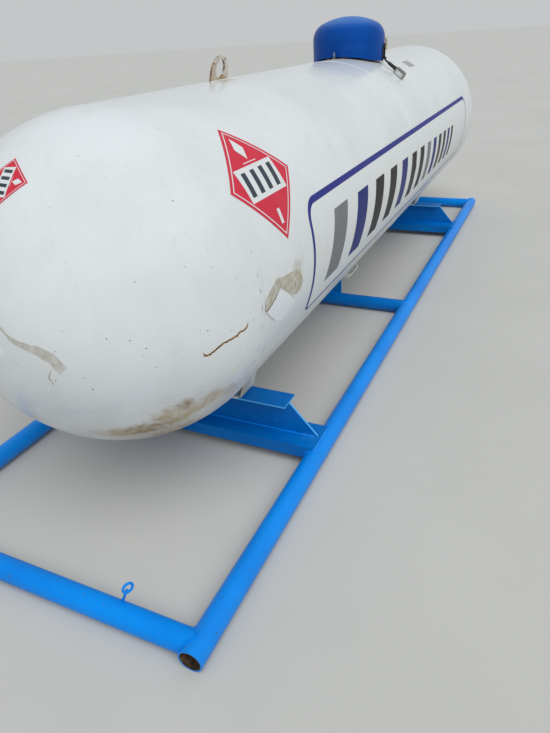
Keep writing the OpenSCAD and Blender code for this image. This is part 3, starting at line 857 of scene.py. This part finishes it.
old_glue = glue("old_glue_and_paper", "#b3ac98", "#cbc8bc", "#99917a")
pale_tape = glue("old_paper_tape", "#bab8ae", "#cbc9c1", "#a5a091")
clean_paint = vinyl("protected_enamel", "#e6e8ea", "#dcdedf")
iron_rust = rust()


# %% Helpers for marks given by their corners
def patch(name, corners, lift, material, step=0.008):
    """A flat patch on the skin, given by its corners in space."""
    middle_point = sum((Vector(c) for c in corners), Vector()) / len(corners)
    base = on_skin(middle_point)
    out = from_axis(base)[1]
    along = Vector((1, 0, 0)) if abs(out.x) < 0.9 else Vector((0, 1, 0))
    along = (along - out * along.dot(out)).normalized()
    up = out.cross(along)
    outline = [((Vector(c) - base).dot(along), (Vector(c) - base).dot(up)) for c in corners]
    return skin_piece(name, [outline], lambda u, v: base + along * u + up * v, lift, material, step)


def ribbon(name, points, width, lift, material, seed):
    """A crooked line on the skin, with an uneven width and pointed ends."""
    rng = random.Random(seed)
    line = []
    for a, b in zip(points, points[1:]):
        a, b = Vector(a), Vector(b)
        count = max(2, int((b - a).length / 0.003))
        line += [a.lerp(b, i / count) for i in range(count)]
    line.append(Vector(points[-1]))
    verts, faces = [], []
    for i, point in enumerate(line):
        point = on_skin(point)
        out = from_axis(point)[1]
        ahead = line[min(i + 1, len(line) - 1)] - line[max(i - 1, 0)]
        side = out.cross(ahead).normalized()
        taper = min(1.0, (i + 0.4) / 4, (len(line) - i - 0.6) / 4)
        half = width / 2 * taper * rng.uniform(0.55, 1.25)
        drift = side * rng.uniform(-0.25, 0.25) * width
        verts += [on_skin(point + drift - side * half, lift), on_skin(point + drift + side * half, lift)]
        if i:
            k = 2 * i
            faces.append([k - 2, k - 1, k + 1, k])
    a, b, c = (verts[j] for j in faces[0][:3])
    if (b - a).cross(c - a).dot(from_axis(a)[1]) < 0:
        faces = [f[::-1] for f in faces]
    return mesh_piece(name, verts, faces, material)


# %% The marks
# Points across and down in the photograph's pixels, picked one by one. The tape runs on past the
# photograph's left edge, so its first and last points are a guess.
TAPE_HEAD = [
    (-2, 323), (2.2, 328.9), (11, 338), (25.5, 343.3), (41, 347.8), (53, 353.3), (62, 362),
    (66.5, 368), (61, 375.5), (47.8, 362.2), (33.3, 354), (22, 348), (11, 342), (3.3, 333), (-2, 328),
]
GLUE_STRIP = [
    (264.5, 311), (266, 300), (271, 290), (277, 278), (284, 277), (281, 288), (278, 292),
    (275, 299), (272, 304), (267, 312.5),
]
GLUE_PATCH = [
    (279, 278), (284, 277), (290, 273), (296, 270), (300, 270), (302, 275), (303, 280),
    (300, 290), (296, 294), (292, 294), (287, 291), (281, 288),
]
CLEAN_PATCH = [
    (281, 288), (288, 292.5), (295, 299), (291.5, 306), (282, 320), (275, 321), (267, 312.5),
    (275, 299),
]
GLUE_EDGE = [(265, 312), (267.5, 311), (272, 304), (275, 299), (278, 292)]
LABEL_EDGES = [
    [(281, 288), (288, 292.5), (295, 299)],
    [(265.5, 312.5), (271.5, 318), (275.5, 321)],
    [(51, 369), (49, 378), (54, 384)],
    [(54.5, 382), (57, 378)],
]
SCRATCH = [
    (203.1, 352.5), (205, 355.9), (210, 354.6), (222.5, 343.8), (231.3, 339), (237.5, 335.6),
    (240, 331.6), (243.8, 330.4), (246.9, 326.9), (248.1, 321.9),
]


def ragged(corners, reach, seed, step=0.006):
    """A torn outline: each side is cut into short lengths and their ends are moved a little."""
    rng = random.Random(seed)
    outline = []
    for a, b in zip(corners, corners[1:] + corners[:1]):
        a, b = Vector(a), Vector(b)
        count = max(1, int((b - a).length / step))
        for i in range(count):
            drift = Vector([rng.uniform(-reach, reach) for _ in range(3)]) if i else Vector()
            outline.append(a.lerp(b, i / count) + drift)
    return outline


patch("tape_on_head", ragged(all_seen(TAPE_HEAD), 0.0022, 1), 0.0006, pale_tape)
patch("glue_strip", ragged(all_seen(GLUE_STRIP), 0.0014, 2), 0.0006, old_glue)
patch("glue_patch", ragged(all_seen(GLUE_PATCH), 0.0016, 3), 0.0007, old_glue)
patch("clean_patch", all_seen(CLEAN_PATCH), 0.0004, clean_paint)
dirt_and_shadow_lines = moulded("dried_dirt_and_painted_shadow_lines", "#7d715c", "#958a74", 0.9, 0.4)
rust_halo = moulded("rust_halo", "#d5bd92", "#c98f4e", 0.8, 0.2)
# The dark lines along the clean patch's outline are painted shadow lines; the glue edge is a dark brown
# line along the glue strip's lower-left side
ribbon("glue_edge", all_seen(GLUE_EDGE), 0.0055, 0.0009, dirt_and_shadow_lines, seed=6)
for i, edge in enumerate(LABEL_EDGES):
    ribbon("label_edge_" + str(i), all_seen(edge), 0.0012, 0.0007, dirt_and_shadow_lines, seed=20 + i)
scratch = all_seen(SCRATCH)
ribbon("rust_halo", scratch, 0.0078, 0.0004, rust_halo, seed=9)
ribbon("rust_scratch", scratch, 0.0044, 0.0007, iron_rust, seed=4)


FROM_AXIS = 0.3  # the dashes start this far from the axis and are carried out to the skin


def seam_marks(name, x, start, end, width, seed, long, gap):
    """Short dark dashes of dirt beside a seam."""
    rng, angle, count = random.Random(seed), start, 0
    while angle > end:
        length = long * rng.uniform(0.3, 1.0)
        places = []
        for i in range(5):
            a = angle - length * i / 4
            places.append(on_skin(Vector((x, -FROM_AXIS * math.cos(a), axis_z + FROM_AXIS * math.sin(a)))))
        ribbon(name + str(count), places, width * rng.uniform(0.5, 1.3), 0.0013, dirt_and_shadow_lines, seed + count)
        angle -= length + gap * rng.uniform(0.2, 1.0)
        count += 1
    return count


near_marks = seam_marks("near_seam_mark_", BEAD_X[0] + 0.003, 0.30, -0.62, 0.0016, 31, 0.08, 0.16)
mid_marks = seam_marks("mid_seam_mark_", BEAD_X[1] - 0.003, 0.98, 0.36, 0.0024, 57, 0.022, 0.17)
print("marks laid:", near_marks, "along the near seam and", mid_marks, "along the middle seam")

# %% [markdown]
# ## Low weld beads
# The three seams round the tank are machine-welded and then painted, so their beads are only
# about a millimetre high, with an even width. Each is a profile of five points that is
# carried round the tank, with a little unevenness, and is shown in place of the CAD ring.


# %% Low weld beads round the tank
def ring_bead(node, x, material):
    """A low, slightly uneven bead round the tank, shown in place of its CAD node."""
    rng, steps = random.Random(node), 240
    profile = [(-0.5, -0.05), (-0.3, 0.6), (0.0, 1.0), (0.3, 0.6), (0.5, -0.05)]
    verts, faces = [], []
    for i in range(steps):
        angle = math.tau * i / steps
        wide, high = BEAD_WIDTH * rng.uniform(0.85, 1.0), BEAD_HEIGHT * rng.uniform(0.7, 1.0)
        for along, rise in profile:
            beside = x + along * wide
            inside = max(0.0, near_seam - beside, beside - far_seam)
            ring = math.sqrt(tank_r**2 - inside**2)
            point = Vector((beside, ring * math.cos(angle), axis_z + ring * math.sin(angle)))
            verts.append(on_skin(point, rise * high))
        for j in range(4):
            a, b = 5 * i + j, 5 * ((i + 1) % steps) + j
            faces.append([a, b, b + 1, a + 1])
    piece = mesh_piece(node + "_low_bead", verts, faces, material)
    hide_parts(node)


# The middle seam's bead gets the whiter enamel, a painted highlight
for node, x in zip(("weld_near", "weld_mid", "weld_far"), BEAD_X):
    ring_bead(node, x, mid_seam_weld_highlight if node == "weld_mid" else seam_weld)
print("beads at", [round(x, 3) for x in BEAD_X])

# %% [markdown]
# ## Chips in the paint
# Small chips show dark steel through the enamel, 1 to 7 mm across, at places picked in the
# photograph and scattered more thinly elsewhere. Hundreds of equal shapes are a job for
# Geometry Nodes: points with a direction and a size go in, and a flat, ragged disc is set
# on each.


# %% A tree that sets a small disc on each point
def chips_tree():
    """Points with the attributes facing and size become thin discs in one material."""
    tree = bpy.data.node_groups.new("chips_on_points", "GeometryNodeTree")
    face = tree.interface
    face.new_socket("Points", in_out="INPUT", socket_type="NodeSocketGeometry")
    face.new_socket("Chip radius", in_out="INPUT", socket_type="NodeSocketFloat")
    face.new_socket("Chip material", in_out="INPUT", socket_type="NodeSocketMaterial")
    face.new_socket("Chips", in_out="OUTPUT", socket_type="NodeSocketGeometry")
    given = add_node(tree, "NodeGroupInput").outputs
    facing = add_node(
        tree, "GeometryNodeInputNamedAttribute", {"data_type": "FLOAT_VECTOR"}, {"Name": "facing"}
    ).outputs["Attribute"]
    size = add_node(
        tree, "GeometryNodeInputNamedAttribute", {"data_type": "FLOAT"}, {"Name": "size"}
    ).outputs["Attribute"]
    disc = add_node(
        tree,
        "GeometryNodeMeshCircle",
        {"fill_type": "TRIANGLE_FAN"},
        {"Vertices": 9, "Radius": given["Chip radius"]},
    )
    turn = add_node(
        tree, "FunctionNodeAlignRotationToVector", {"axis": "Z"}, {"Vector": facing}
    ).outputs[0]
    shift = add_node(
        tree,
        "FunctionNodeRandomValue",
        {"data_type": "FLOAT_VECTOR"},
        {"Min": (0.6, 0.35, 1.0), "Max": (1.3, 1.0, 1.0), "Seed": 11},
    ).outputs["Value"]
    scale = add_node(
        tree, "ShaderNodeVectorMath", {"operation": "MULTIPLY"}, {0: shift, 1: size}
    ).outputs[0]
    spin = add_node(
        tree,
        "FunctionNodeRandomValue",
        {"data_type": "FLOAT"},
        {2: 0.0, 3: 6.28, "Seed": 5},
    ).outputs[1]
    placed = add_node(
        tree,
        "GeometryNodeInstanceOnPoints",
        inputs={
            "Points": given["Points"],
            "Instance": disc.outputs["Mesh"],
            "Rotation": turn,
            "Scale": scale,
        },
    ).outputs["Instances"]
    twist = add_node(tree, "ShaderNodeCombineXYZ", inputs={"Z": spin}).outputs[0]
    turned = add_node(
        tree,
        "GeometryNodeRotateInstances",
        inputs={"Instances": placed, "Rotation": twist, "Local Space": True},
    ).outputs[0]
    real = add_node(tree, "GeometryNodeRealizeInstances", inputs={0: turned}).outputs[0]
    painted = add_node(
        tree, "GeometryNodeSetMaterial", inputs={"Geometry": real, "Material": given["Chip material"]}
    ).outputs[0]
    add_node(tree, "NodeGroupOutput", inputs={0: painted})
    return tree


def apply_tree(name, base_mesh, tree, values, body):
    """Runs a Geometry Nodes tree on a mesh and keeps the result as a plain piece."""
    source = bpy.data.objects.new(name + "_source", base_mesh)
    bpy.context.scene.collection.objects.link(source)
    modifier = source.modifiers.new("nodes", "NODES")
    modifier.node_group = tree
    for item in tree.interface.items_tree:
        if item.item_type == "SOCKET" and item.in_out == "INPUT" and item.name in values:
            modifier[item.identifier] = values[item.name]
    graph = bpy.context.evaluated_depsgraph_get()
    mesh = bpy.data.meshes.new_from_object(source.evaluated_get(graph), depsgraph=graph)
    mesh.name = name
    bpy.data.objects.remove(source)
    piece = bpy.data.objects.new(name, mesh)
    bpy.context.scene.collection.objects.link(piece)
    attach(piece, body)
    return piece


def point_mesh(name, places):
    """Loose points with the attributes facing and size."""
    mesh = bpy.data.meshes.new(name)
    mesh.from_pydata([tuple(p) for p, _, _ in places], [], [])
    facing = mesh.attributes.new("facing", "FLOAT_VECTOR", "POINT")
    facing.data.foreach_set("vector", [c for _, out, _ in places for c in out])
    size = mesh.attributes.new("size", "FLOAT", "POINT")
    size.data.foreach_set("value", [s for _, _, s in places])
    return mesh


# %% Chips on the tank and on the skid
KNOWN_CHIPS = [
    (84, 378), (93, 389.4), (106.7, 339), (130, 340.5), (2.5, 356), (16, 364), (20.5, 386.3),
    (49, 396), (75, 398.3), (129.4, 415.2), (71, 417.8), (85, 417.8), (253.5, 319.4),
    (247.5, 348.5), (207.8, 330.4), (200, 330.4), (169.4, 380), (156.3, 367.5), (146, 348.5),
    (143.5, 355.4), (201.9, 385.9), (175, 401.5), (221.9, 370.6), (241.2, 295.9), (231.9, 330.6),
    (49, 379), (53, 384),
]


def tank_chips():
    """The known chips, and a scatter of smaller ones over the whole tank."""
    rng = random.Random(21)
    places = []
    for spot in all_seen(KNOWN_CHIPS):
        point = on_skin(Vector(spot), 0.0003)
        places.append((point, from_axis(point)[1], rng.uniform(0.45, 0.75)))
    for _ in range(30):
        angle = rng.uniform(-math.pi, math.pi)
        x = rng.uniform(near_seam - 0.42, far_seam + 0.42)
        sideways = Vector((0, math.cos(angle), math.sin(angle)))
        point = on_skin(Vector((x, 0, axis_z)) + sideways * 0.3, 0.0003)
        places.append((point, from_axis(point)[1], rng.uniform(0.25, 0.55)))
    return places


def skid_chips():
    """Chips along the tops and outer sides of the pipes."""
    rng = random.Random(8)
    places = []
    low_x, high_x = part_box("runner_right")[0].x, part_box("runner_right")[1].x
    for _ in range(170):
        side = rng.choice((-1, 1))
        angle = rng.uniform(0, math.pi)
        out = Vector((0, math.cos(angle), math.sin(angle)))
        axis = Vector((rng.uniform(low_x + 0.02, high_x - 0.02), side * runner_y, pipe_r))
        places.append((axis + out * (pipe_r + 0.0003), out, rng.uniform(0.3, 0.9)))
    for pipe in ("end_pipe_near", "mid_pipe", "end_pipe_far"):
        for _ in range(26):
            angle = rng.uniform(0, math.pi)
            out = Vector((math.cos(angle), 0, math.sin(angle)))
            reach = runner_y - pipe_r - 0.02
            axis = Vector((middle(pipe, 0), rng.uniform(-reach, reach), pipe_r))
            places.append((axis + out * (pipe_r + 0.0003), out, rng.uniform(0.3, 0.9)))
    return places


chips = chips_tree()
chip_steel = metal("chipped_to_steel", "#8a8177", "#6a5a4a", 0.6)
for name, places in (("chips_tank", tank_chips()), ("chips_skid", skid_chips())):
    piece = apply_tree(
        name,
        point_mesh(name + "_points", places),
        chips,
        {"Chip radius": 0.0030, "Chip material": chip_steel},
        "tank",
    )
    print(name, len(places), "chips,", len(piece.data.polygons), "faces")

# %% [markdown]
# ## Weld beads
# Everything on the skid is fillet-welded, and the legs and lugs are welded to the shell. A
# hand-laid bead is a row of overlapping drops, about 4 mm apart. Geometry Nodes follow a
# path: it is cut into equal steps and a flattened drop is set at each one. The paths come
# from the shapes themselves, such as the curve where one round pipe meets another.


# %% A tree that lays drops along a path
def bead_tree():
    """Edges become curves, and drops are set along them at an equal pitch."""
    tree = bpy.data.node_groups.new("weld_drops_on_path", "GeometryNodeTree")
    face = tree.interface
    face.new_socket("Path", in_out="INPUT", socket_type="NodeSocketGeometry")
    face.new_socket("Pitch", in_out="INPUT", socket_type="NodeSocketFloat")
    face.new_socket("Drop radius", in_out="INPUT", socket_type="NodeSocketFloat")
    face.new_socket("Drop material", in_out="INPUT", socket_type="NodeSocketMaterial")
    face.new_socket("Bead", in_out="OUTPUT", socket_type="NodeSocketGeometry")
    given = add_node(tree, "NodeGroupInput").outputs
    curve = add_node(tree, "GeometryNodeMeshToCurve", inputs={"Mesh": given["Path"]})
    steps = add_node(
        tree,
        "GeometryNodeResampleCurve",
        {"mode": "LENGTH"},
        {"Curve": curve.outputs["Curve"], "Length": given["Pitch"]},
    )
    points = add_node(
        tree, "GeometryNodeCurveToPoints", {"mode": "EVALUATED"}, {"Curve": steps.outputs["Curve"]}
    )
    drop = add_node(
        tree,
        "GeometryNodeMeshUVSphere",
        inputs={"Radius": given["Drop radius"], "Segments": 8, "Rings": 5},
    )
    uneven = add_node(
        tree,
        "FunctionNodeRandomValue",
        {"data_type": "FLOAT_VECTOR"},
        {"Min": (0.85, 0.85, 0.75), "Max": (1.1, 1.1, 1.0), "Seed": 3},
    ).outputs["Value"]
    placed = add_node(
        tree,
        "GeometryNodeInstanceOnPoints",
        inputs={
            "Points": points.outputs["Points"],
            "Instance": drop.outputs["Mesh"],
            "Rotation": points.outputs["Rotation"],
            "Scale": uneven,
        },
    ).outputs["Instances"]
    real = add_node(tree, "GeometryNodeRealizeInstances", inputs={0: placed}).outputs[0]
    smooth = add_node(tree, "GeometryNodeSetShadeSmooth", inputs={0: real}).outputs[0]
    painted = add_node(
        tree,
        "GeometryNodeSetMaterial",
        inputs={"Geometry": smooth, "Material": given["Drop material"]},
    ).outputs[0]
    add_node(tree, "NodeGroupOutput", inputs={0: painted})
    return tree


def path_mesh(name, paths):
    """Open paths of points as loose edges."""
    verts, edges = [], []
    for path in paths:
        start = len(verts)
        verts += [tuple(p) for p in path]
        edges += [(start + i, start + i + 1) for i in range(len(path) - 1)]
    mesh = bpy.data.meshes.new(name)
    mesh.from_pydata(verts, edges, [])
    return mesh


# %% Paths on the skid
def pipe_joint(x, side, steps=48):
    """The curve where a cross pipe meets a runner."""
    path = []
    for i in range(steps + 1):
        angle = math.radians(-55 + 290 * i / steps)
        z = pipe_r + pipe_r * math.sin(angle)
        y = runner_y - math.sqrt(max(0.0, pipe_r**2 - (z - pipe_r) ** 2))
        path.append(Vector((x + pipe_r * math.cos(angle), side * y, z)))
    return path


def cope(x, low_z, side, steps=10):
    """The edge where a channel's side is cut to the round of a runner."""
    path = []
    for i in range(steps + 1):
        z = low_z + (2 * pipe_r - 0.0004 - low_z) * i / steps
        y = runner_y - math.sqrt(max(0.0, pipe_r**2 - (z - pipe_r) ** 2))
        path.append(Vector((x, side * (y - 0.001), z)))
    return path


def across(x, y, z):
    """A straight run from -y to y."""
    return [Vector((x, -y, z)), Vector((x, y, z))]


skid_paths, bright_paths = [], []
for side in (-1, 1):
    for pipe in ("end_pipe_near", "mid_pipe", "end_pipe_far"):
        skid_paths.append(pipe_joint(middle(pipe, 0), side))
for end in ("near", "far"):
    beam_low, beam_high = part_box("saddle_channel_" + end)
    plate_low, plate_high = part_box("saddle_plate_" + end)
    cap_low, cap_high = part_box("saddle_cap_" + end)
    for side in (-1, 1):
        for x in (beam_low.x, beam_high.x):
            skid_paths.append(cope(x, beam_low.z + 0.003, side))
        y = side * (beam_high.y + 0.001)
        ends = (beam_low.x + 0.002, beam_high.x - 0.002)
        bright_paths.append([Vector((x, y, 2 * pipe_r + 0.001)) for x in ends])
    for x in (plate_low.x - 0.0015, plate_high.x + 0.0015):
        skid_paths.append(across(x, plate_high.y - 0.01, beam_high.z + 0.0005))
        skid_paths.append(across(x, cap_high.y - 0.02, cap_low.z))
mid_low, mid_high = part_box("mid_plate")
for x in (mid_low.x - 0.0015, mid_high.x + 0.0015):
    skid_paths.append(across(x, mid_high.y - 0.005, 2 * pipe_r - 0.0005))
print(len(skid_paths) + len(bright_paths), "bead paths on the skid")

# %% Paths on the tank, then both sets of beads
tank_paths = []
for node in ("leg_near_left", "leg_near_right", "leg_far_left", "leg_far_right"):
    low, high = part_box(node)
    side = 1 if high.y > 0 else -1
    outer_y = high.y if side > 0 else low.y
    inner_y = low.y if side > 0 else high.y
    shell_z = axis_z - math.sqrt(tank_r**2 - outer_y**2) + 0.001
    tank_paths.append(
        [Vector((x, outer_y + side * 0.001, shell_z)) for x in (low.x + 0.002, high.x - 0.002)]
    )
    foot = low.z + 0.001
    tank_paths.append(
        [
            Vector((low.x - 0.001, inner_y + side * 0.034, foot)),
            Vector((low.x - 0.001, inner_y - side * 0.001, foot)),
            Vector((high.x + 0.001, inner_y - side * 0.001, foot)),
            Vector((high.x + 0.001, inner_y + side * 0.034, foot)),
        ]
    )
lug_half = (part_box("lug_far")[1].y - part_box("lug_far")[0].y) / 2
for node in ("lug_near", "lug_far"):
    low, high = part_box(node)
    for y in (-lug_half - 0.001, lug_half + 0.001):
        tank_paths.append([Vector((x, y, top_z)) for x in (low.x + 0.002, high.x - 0.002)])
beads = bead_tree()
for name, paths, paint, slot in (
    ("weld_beads_skid", skid_paths, enamel_skid, "skid_blue"),
    ("weld_beads_bright", bright_paths, pale_blue_weld, "skid_blue"),
    ("weld_beads_tank", tank_paths, worn_weld, "weld_white"),
):
    piece = apply_tree(
        name,
        path_mesh(name + "_path", paths),
        beads,
        {"Pitch": 0.0040, "Drop radius": 0.0042, "Drop material": paint},
        "tank",
    )
    print(name, len(piece.data.polygons), "faces")

# %% [markdown]
# ## Gauge, sensor and cable
# The level gauge under the hood has a dial with plain numbers from 0 to 100 and a needle.
# Text is the easy way to get well-shaped numbers: each is a text object that is turned into
# a mesh. A cable runs from the gauge through the notch in the hood to a small box on the
# shell. The CAD model makes it from straight lengths, so here it is swept again with arcs of
# 22 mm at the corners, as tight as a stiff 9 mm cable is bent.


# %% The dial
def turned_text(words, size, centre, angle):
    """Vertices and faces of a flat text, laid level and turned about its own middle."""
    curve = bpy.data.curves.new("number", "FONT")
    curve.body, curve.size = words, size
    curve.align_x, curve.align_y = "CENTER", "CENTER"
    holder = bpy.data.objects.new("number", curve)
    bpy.context.scene.collection.objects.link(holder)
    graph = bpy.context.evaluated_depsgraph_get()
    flat = bpy.data.meshes.new_from_object(holder.evaluated_get(graph), depsgraph=graph)
    place = Matrix.Translation(centre) @ Matrix.Rotation(angle, 4, "Z")
    verts = [place @ v.co for v in flat.vertices]
    faces = [list(f.vertices) for f in flat.polygons]
    bpy.data.objects.remove(holder)
    bpy.data.meshes.remove(flat)
    return verts, faces


def disc(centre, radius, steps=48):
    """A flat, level disc as vertices and one face."""
    verts = [
        centre + Vector((radius * math.cos(a), radius * math.sin(a), 0))
        for a in (2 * math.pi * i / steps for i in range(steps))
    ]
    return verts, [list(range(steps))]


gauge_low, gauge_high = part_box("level_gauge")
dial_r = (gauge_high.x - gauge_low.x) / 2
dial_at = Vector((middle("level_gauge", 0), middle("level_gauge", 1), gauge_high.z + 0.0006))
dial_face = moulded("dial_paper", "#e9e8e0", "#dcd9cb", 0.5, 0.05)
dial_ink = moulded("dial_ink", "#20211f", "#33322e", 0.5, 0.05)
dial_red = moulded("needle_red", "#b3201c", "#c04a40", 0.4, 0.05)
verts, faces = disc(dial_at, dial_r * 0.86)
mesh_piece("dial_plate", verts, faces, dial_face, smooth=False)
verts, faces = [], []
for i in range(11):
    angle = math.radians(225 - 27 * i)
    out = Vector((math.cos(angle), math.sin(angle), 0))
    side = Vector((-out.y, out.x, 0)) * 0.0006
    base = dial_at + Vector((0, 0, 0.0004))
    start = len(verts)
    a, b = base + out * dial_r * 0.68, base + out * dial_r * 0.80
    verts += [a - side, b - side, b + side, a + side]
    faces.append([start, start + 1, start + 2, start + 3])
    if i % 2 == 0:
        number = turned_text(str(10 * i), 0.0068, base + out * dial_r * 0.50, 0.0)
        start = len(verts)
        verts += number[0]
        faces += [[start + j for j in f] for f in number[1]]
mesh_piece("dial_numbers", verts, faces, dial_ink, smooth=False)
tip = Vector((math.cos(math.radians(150)), math.sin(math.radians(150)), 0))
side = Vector((-tip.y, tip.x, 0)) * 0.0014
base = dial_at + Vector((0, 0, 0.0012))
mesh_piece(
    "dial_needle",
    [base - tip * 0.006 - side, base - tip * 0.006 + side, base + tip * dial_r * 0.74],
    [[0, 2, 1]],
    dial_red,
    smooth=False,
)
print("dial radius", round(dial_r * 0.86 * 1000, 1), "mm")

# %% [markdown]
# ## The sensor's label
# A pale label with a plain ring is on the side of the sensor box that faces the near end. Its
# outlines are flat sizes, turned to the slope of the box and set 0.6 mm out from its side.

# %% A pale label with a ring on the side of the sensor
box_mid = Vector([middle("sensor_box", axis) for axis in range(3)])
out = Vector((0, box_mid.y, box_mid.z - axis_z)).normalized()
uphill = Vector((0, out.z, -out.y))
if uphill.z < 0:
    uphill = -uphill
sensor_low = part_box("sensor_box")[0]
lid = Vector((sensor_low.x - 0.0006, box_mid.y, box_mid.z)) - out * 0.003


def on_lid(outline, lift):
    """A flat outline on the side of the box that faces the near end."""
    return [lid + out * u + uphill * v - Vector((1, 0, 0)) * lift for u, v in outline]


lid_grey = moulded("lid_grey", "#c6c7c5", "#d6d6d2", 0.5, 0.1)
verts = on_lid(rounded(-0.0115, -0.023, 0.0115, 0.023, 0.003), 0)
mesh_piece("sensor_lid", verts, [list(range(len(verts)))], lid_grey, smooth=False)
ring_out = [(0.0085 * math.cos(a), 0.0085 * math.sin(a)) for a in (math.tau * i / 32 for i in range(32))]
verts = on_lid(ring_out, 0.0006) + on_lid([(u * 0.62, v * 0.62) for u, v in ring_out], 0.0006)
faces = [[i, (i + 1) % 32, 32 + (i + 1) % 32, 32 + i] for i in range(32)]
mesh_piece("sensor_ring", verts, faces, white_label, smooth=False)
print("sensor lid at", [round(c, 3) for c in lid])

# %% The cable, swept along a route of straights and arcs
def rounded_path(points, radius, steps=5):
    """A route through the points with each corner rounded by an arc."""
    path, last = [points[0]], len(points) - 1
    for i in range(1, last):
        come, go = points[i] - points[i - 1], points[i + 1] - points[i]
        turn = come.angle(go)
        reach = min(
            radius * math.tan(turn / 2),
            come.length * (0.8 if i == 1 else 0.45),
            go.length * (0.8 if i == last - 1 else 0.45),
        )
        come.normalize()
        go.normalize()
        centre = points[i] + (go - come).normalized() * reach / math.sin(turn / 2)
        a, b = points[i] - come * reach - centre, points[i] + go * reach - centre
        for k in range(steps + 1):
            t = k / steps
            path.append(centre + (a * math.sin((1 - t) * turn) + b * math.sin(t * turn)) / math.sin(turn))
    return path + [points[-1]]


def tube(path, radius, sides=14):
    """A round, closed tube along a path."""
    verts, side = [], Vector((0, 0, 1))
    for i, point in enumerate(path):
        along = (path[min(i + 1, len(path) - 1)] - path[max(i - 1, 0)]).normalized()
        side = (side - along * side.dot(along)).normalized()
        other = along.cross(side)
        for k in range(sides):
            a = math.tau * k / sides
            verts.append(point + (side * math.cos(a) + other * math.sin(a)) * radius)
    faces = []
    for i in range(len(path) - 1):
        for k in range(sides):
            a, b = sides * i + k, sides * i + (k + 1) % sides
            faces.append([a, b, b + sides, a + sides])
    last = sides * (len(path) - 1)
    faces += [list(range(sides))[::-1], [last + k for k in range(sides)]]
    return verts, faces


BELOW_TOP = 0.012  # how far these places lie below the level of the tank's top


def by_hood(degrees, reach):
    """A place just below the level of the tank's top, at an angle and a distance from the hood."""
    a = math.radians(degrees)
    return Vector((reach * math.cos(a), reach * math.sin(a), -BELOW_TOP))


gland_end, gland_dir = Vector((-0.063, -0.2542, -0.0353)), Vector((0, 0.7986, 0.6018))
CABLE = [
    Vector((0.018, -0.012, 0.046)), Vector((0.036, -0.060, 0.052)), Vector((0.036, -0.110, 0.030)),
    by_hood(-82, 0.170), by_hood(-88, 0.198), by_hood(-91, 0.226),
    gland_end + gland_dir * 0.027, gland_end,
]
hood_top = Vector((hood_x, 0, top_z))
path = [hood_top + p for p in rounded_path(CABLE, 0.022)]
verts, faces = tube(path, 0.0045)
piece = mesh_piece("smooth_cable", verts, faces, cable_rubber)
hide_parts("sensor_cable")
length = sum((b - a).length for a, b in zip(path, path[1:]))
print("cable:", round(length * 1000), "mm long")

# %% [markdown]
# ## Studio
# The floor is pale and plain. One very soft sun, high on the near side, stands for the bright
# part of an overcast sky, and the world fills the shadows. Both are kept at a level where
# white enamel stays below clipping.

# %% Floor
floor_mesh = bpy.data.meshes.new("studio_floor")
reach = 300.0
floor_mesh.from_pydata(
    [(-reach, -reach, 0), (reach, -reach, 0), (reach, reach, 0), (-reach, reach, 0)], [], [(0, 1, 2, 3)]
)
studio_floor = bpy.data.objects.new("studio_floor", floor_mesh)
bpy.context.scene.collection.objects.link(studio_floor)
floor_material, floor_tree, floor_shader, floor_place = new_material("studio_floor_paint", 0.8)
floor_tone = mottle(floor_tree, floor_place, 0.8, 0.3, 0.7)
floor_colour = coat(floor_tree, "#c9c7c1", "#c4c2bc", floor_tone)
floor_tree.links.new(floor_colour, floor_shader.inputs["Base Color"])
floor_mesh.materials.append(floor_material)


# %% Sun and world
def soft_sun(name, toward, strength, angle, colour):
    """A very soft sun: a bright part of an overcast sky. toward points from the object to it."""
    lamp = bpy.data.lights.new(name, "SUN")
    lamp.energy = strength
    lamp.angle = angle
    lamp.color = linear(colour)[:3]
    holder = bpy.data.objects.new(name, lamp)
    holder.rotation_euler = Vector(toward).to_track_quat("Z", "Y").to_euler()
    bpy.context.scene.collection.objects.link(holder)
    holder.visible_glossy = False  # no hard disc in the enamel, which mirrors an even sky
    return holder


soft_sun("bright_sky", (-0.39, -0.46, 0.80), 1.96, math.radians(60), "#f9fcff")

world = bpy.data.worlds.new("studio_world")
bpy.context.scene.world = world
world.use_nodes = True
world_tree = world.node_tree
world_tree.nodes.clear()
rays = add_node(world_tree, "ShaderNodeLightPath").outputs
direct = {0: rays["Is Camera Ray"], 1: rays["Is Glossy Ray"]}
seen = add_node(world_tree, "ShaderNodeMath", {"operation": "MAXIMUM"}, direct).outputs[0]
seen = add_node(
    world_tree, "ShaderNodeMath", {"operation": "MAXIMUM"}, {0: seen, 1: rays["Is Transmission Ray"]}
).outputs[0]
fill = add_node(world_tree, "ShaderNodeBackground", inputs={"Color": linear("#e8eef5"), "Strength": 0.56})
pale = add_node(world_tree, "ShaderNodeBackground", inputs={"Color": linear("#c4c6c7"), "Strength": 1.0})
blend = add_node(
    world_tree,
    "ShaderNodeMixShader",
    inputs={0: seen, 1: fill.outputs["Background"], 2: pale.outputs["Background"]},
)
add_node(world_tree, "ShaderNodeOutputWorld", inputs={"Surface": blend.outputs[0]})
bpy.context.scene.view_settings.view_transform = "Standard"

# %% The camera at the photograph's angle
SENSOR = 36.0  # mm across
camera_data = bpy.data.cameras.new("photo_camera")
camera_data.sensor_fit = "HORIZONTAL"
camera_data.sensor_width = SENSOR
camera_data.lens = FOCAL_PIXELS * SENSOR / PHOTO_WIDTH
camera_data.clip_start, camera_data.clip_end = 0.05, 100
camera = bpy.data.objects.new("photo_camera", camera_data)
bpy.context.scene.collection.objects.link(camera)
turn = Matrix((sight_right, sight_up, -sight_ahead)).transposed().to_4x4()
camera.matrix_world = Matrix.Translation(CAMERA_PLACE) @ turn
bpy.context.scene.camera = camera
print("lens:", round(camera_data.lens, 2), "mm")
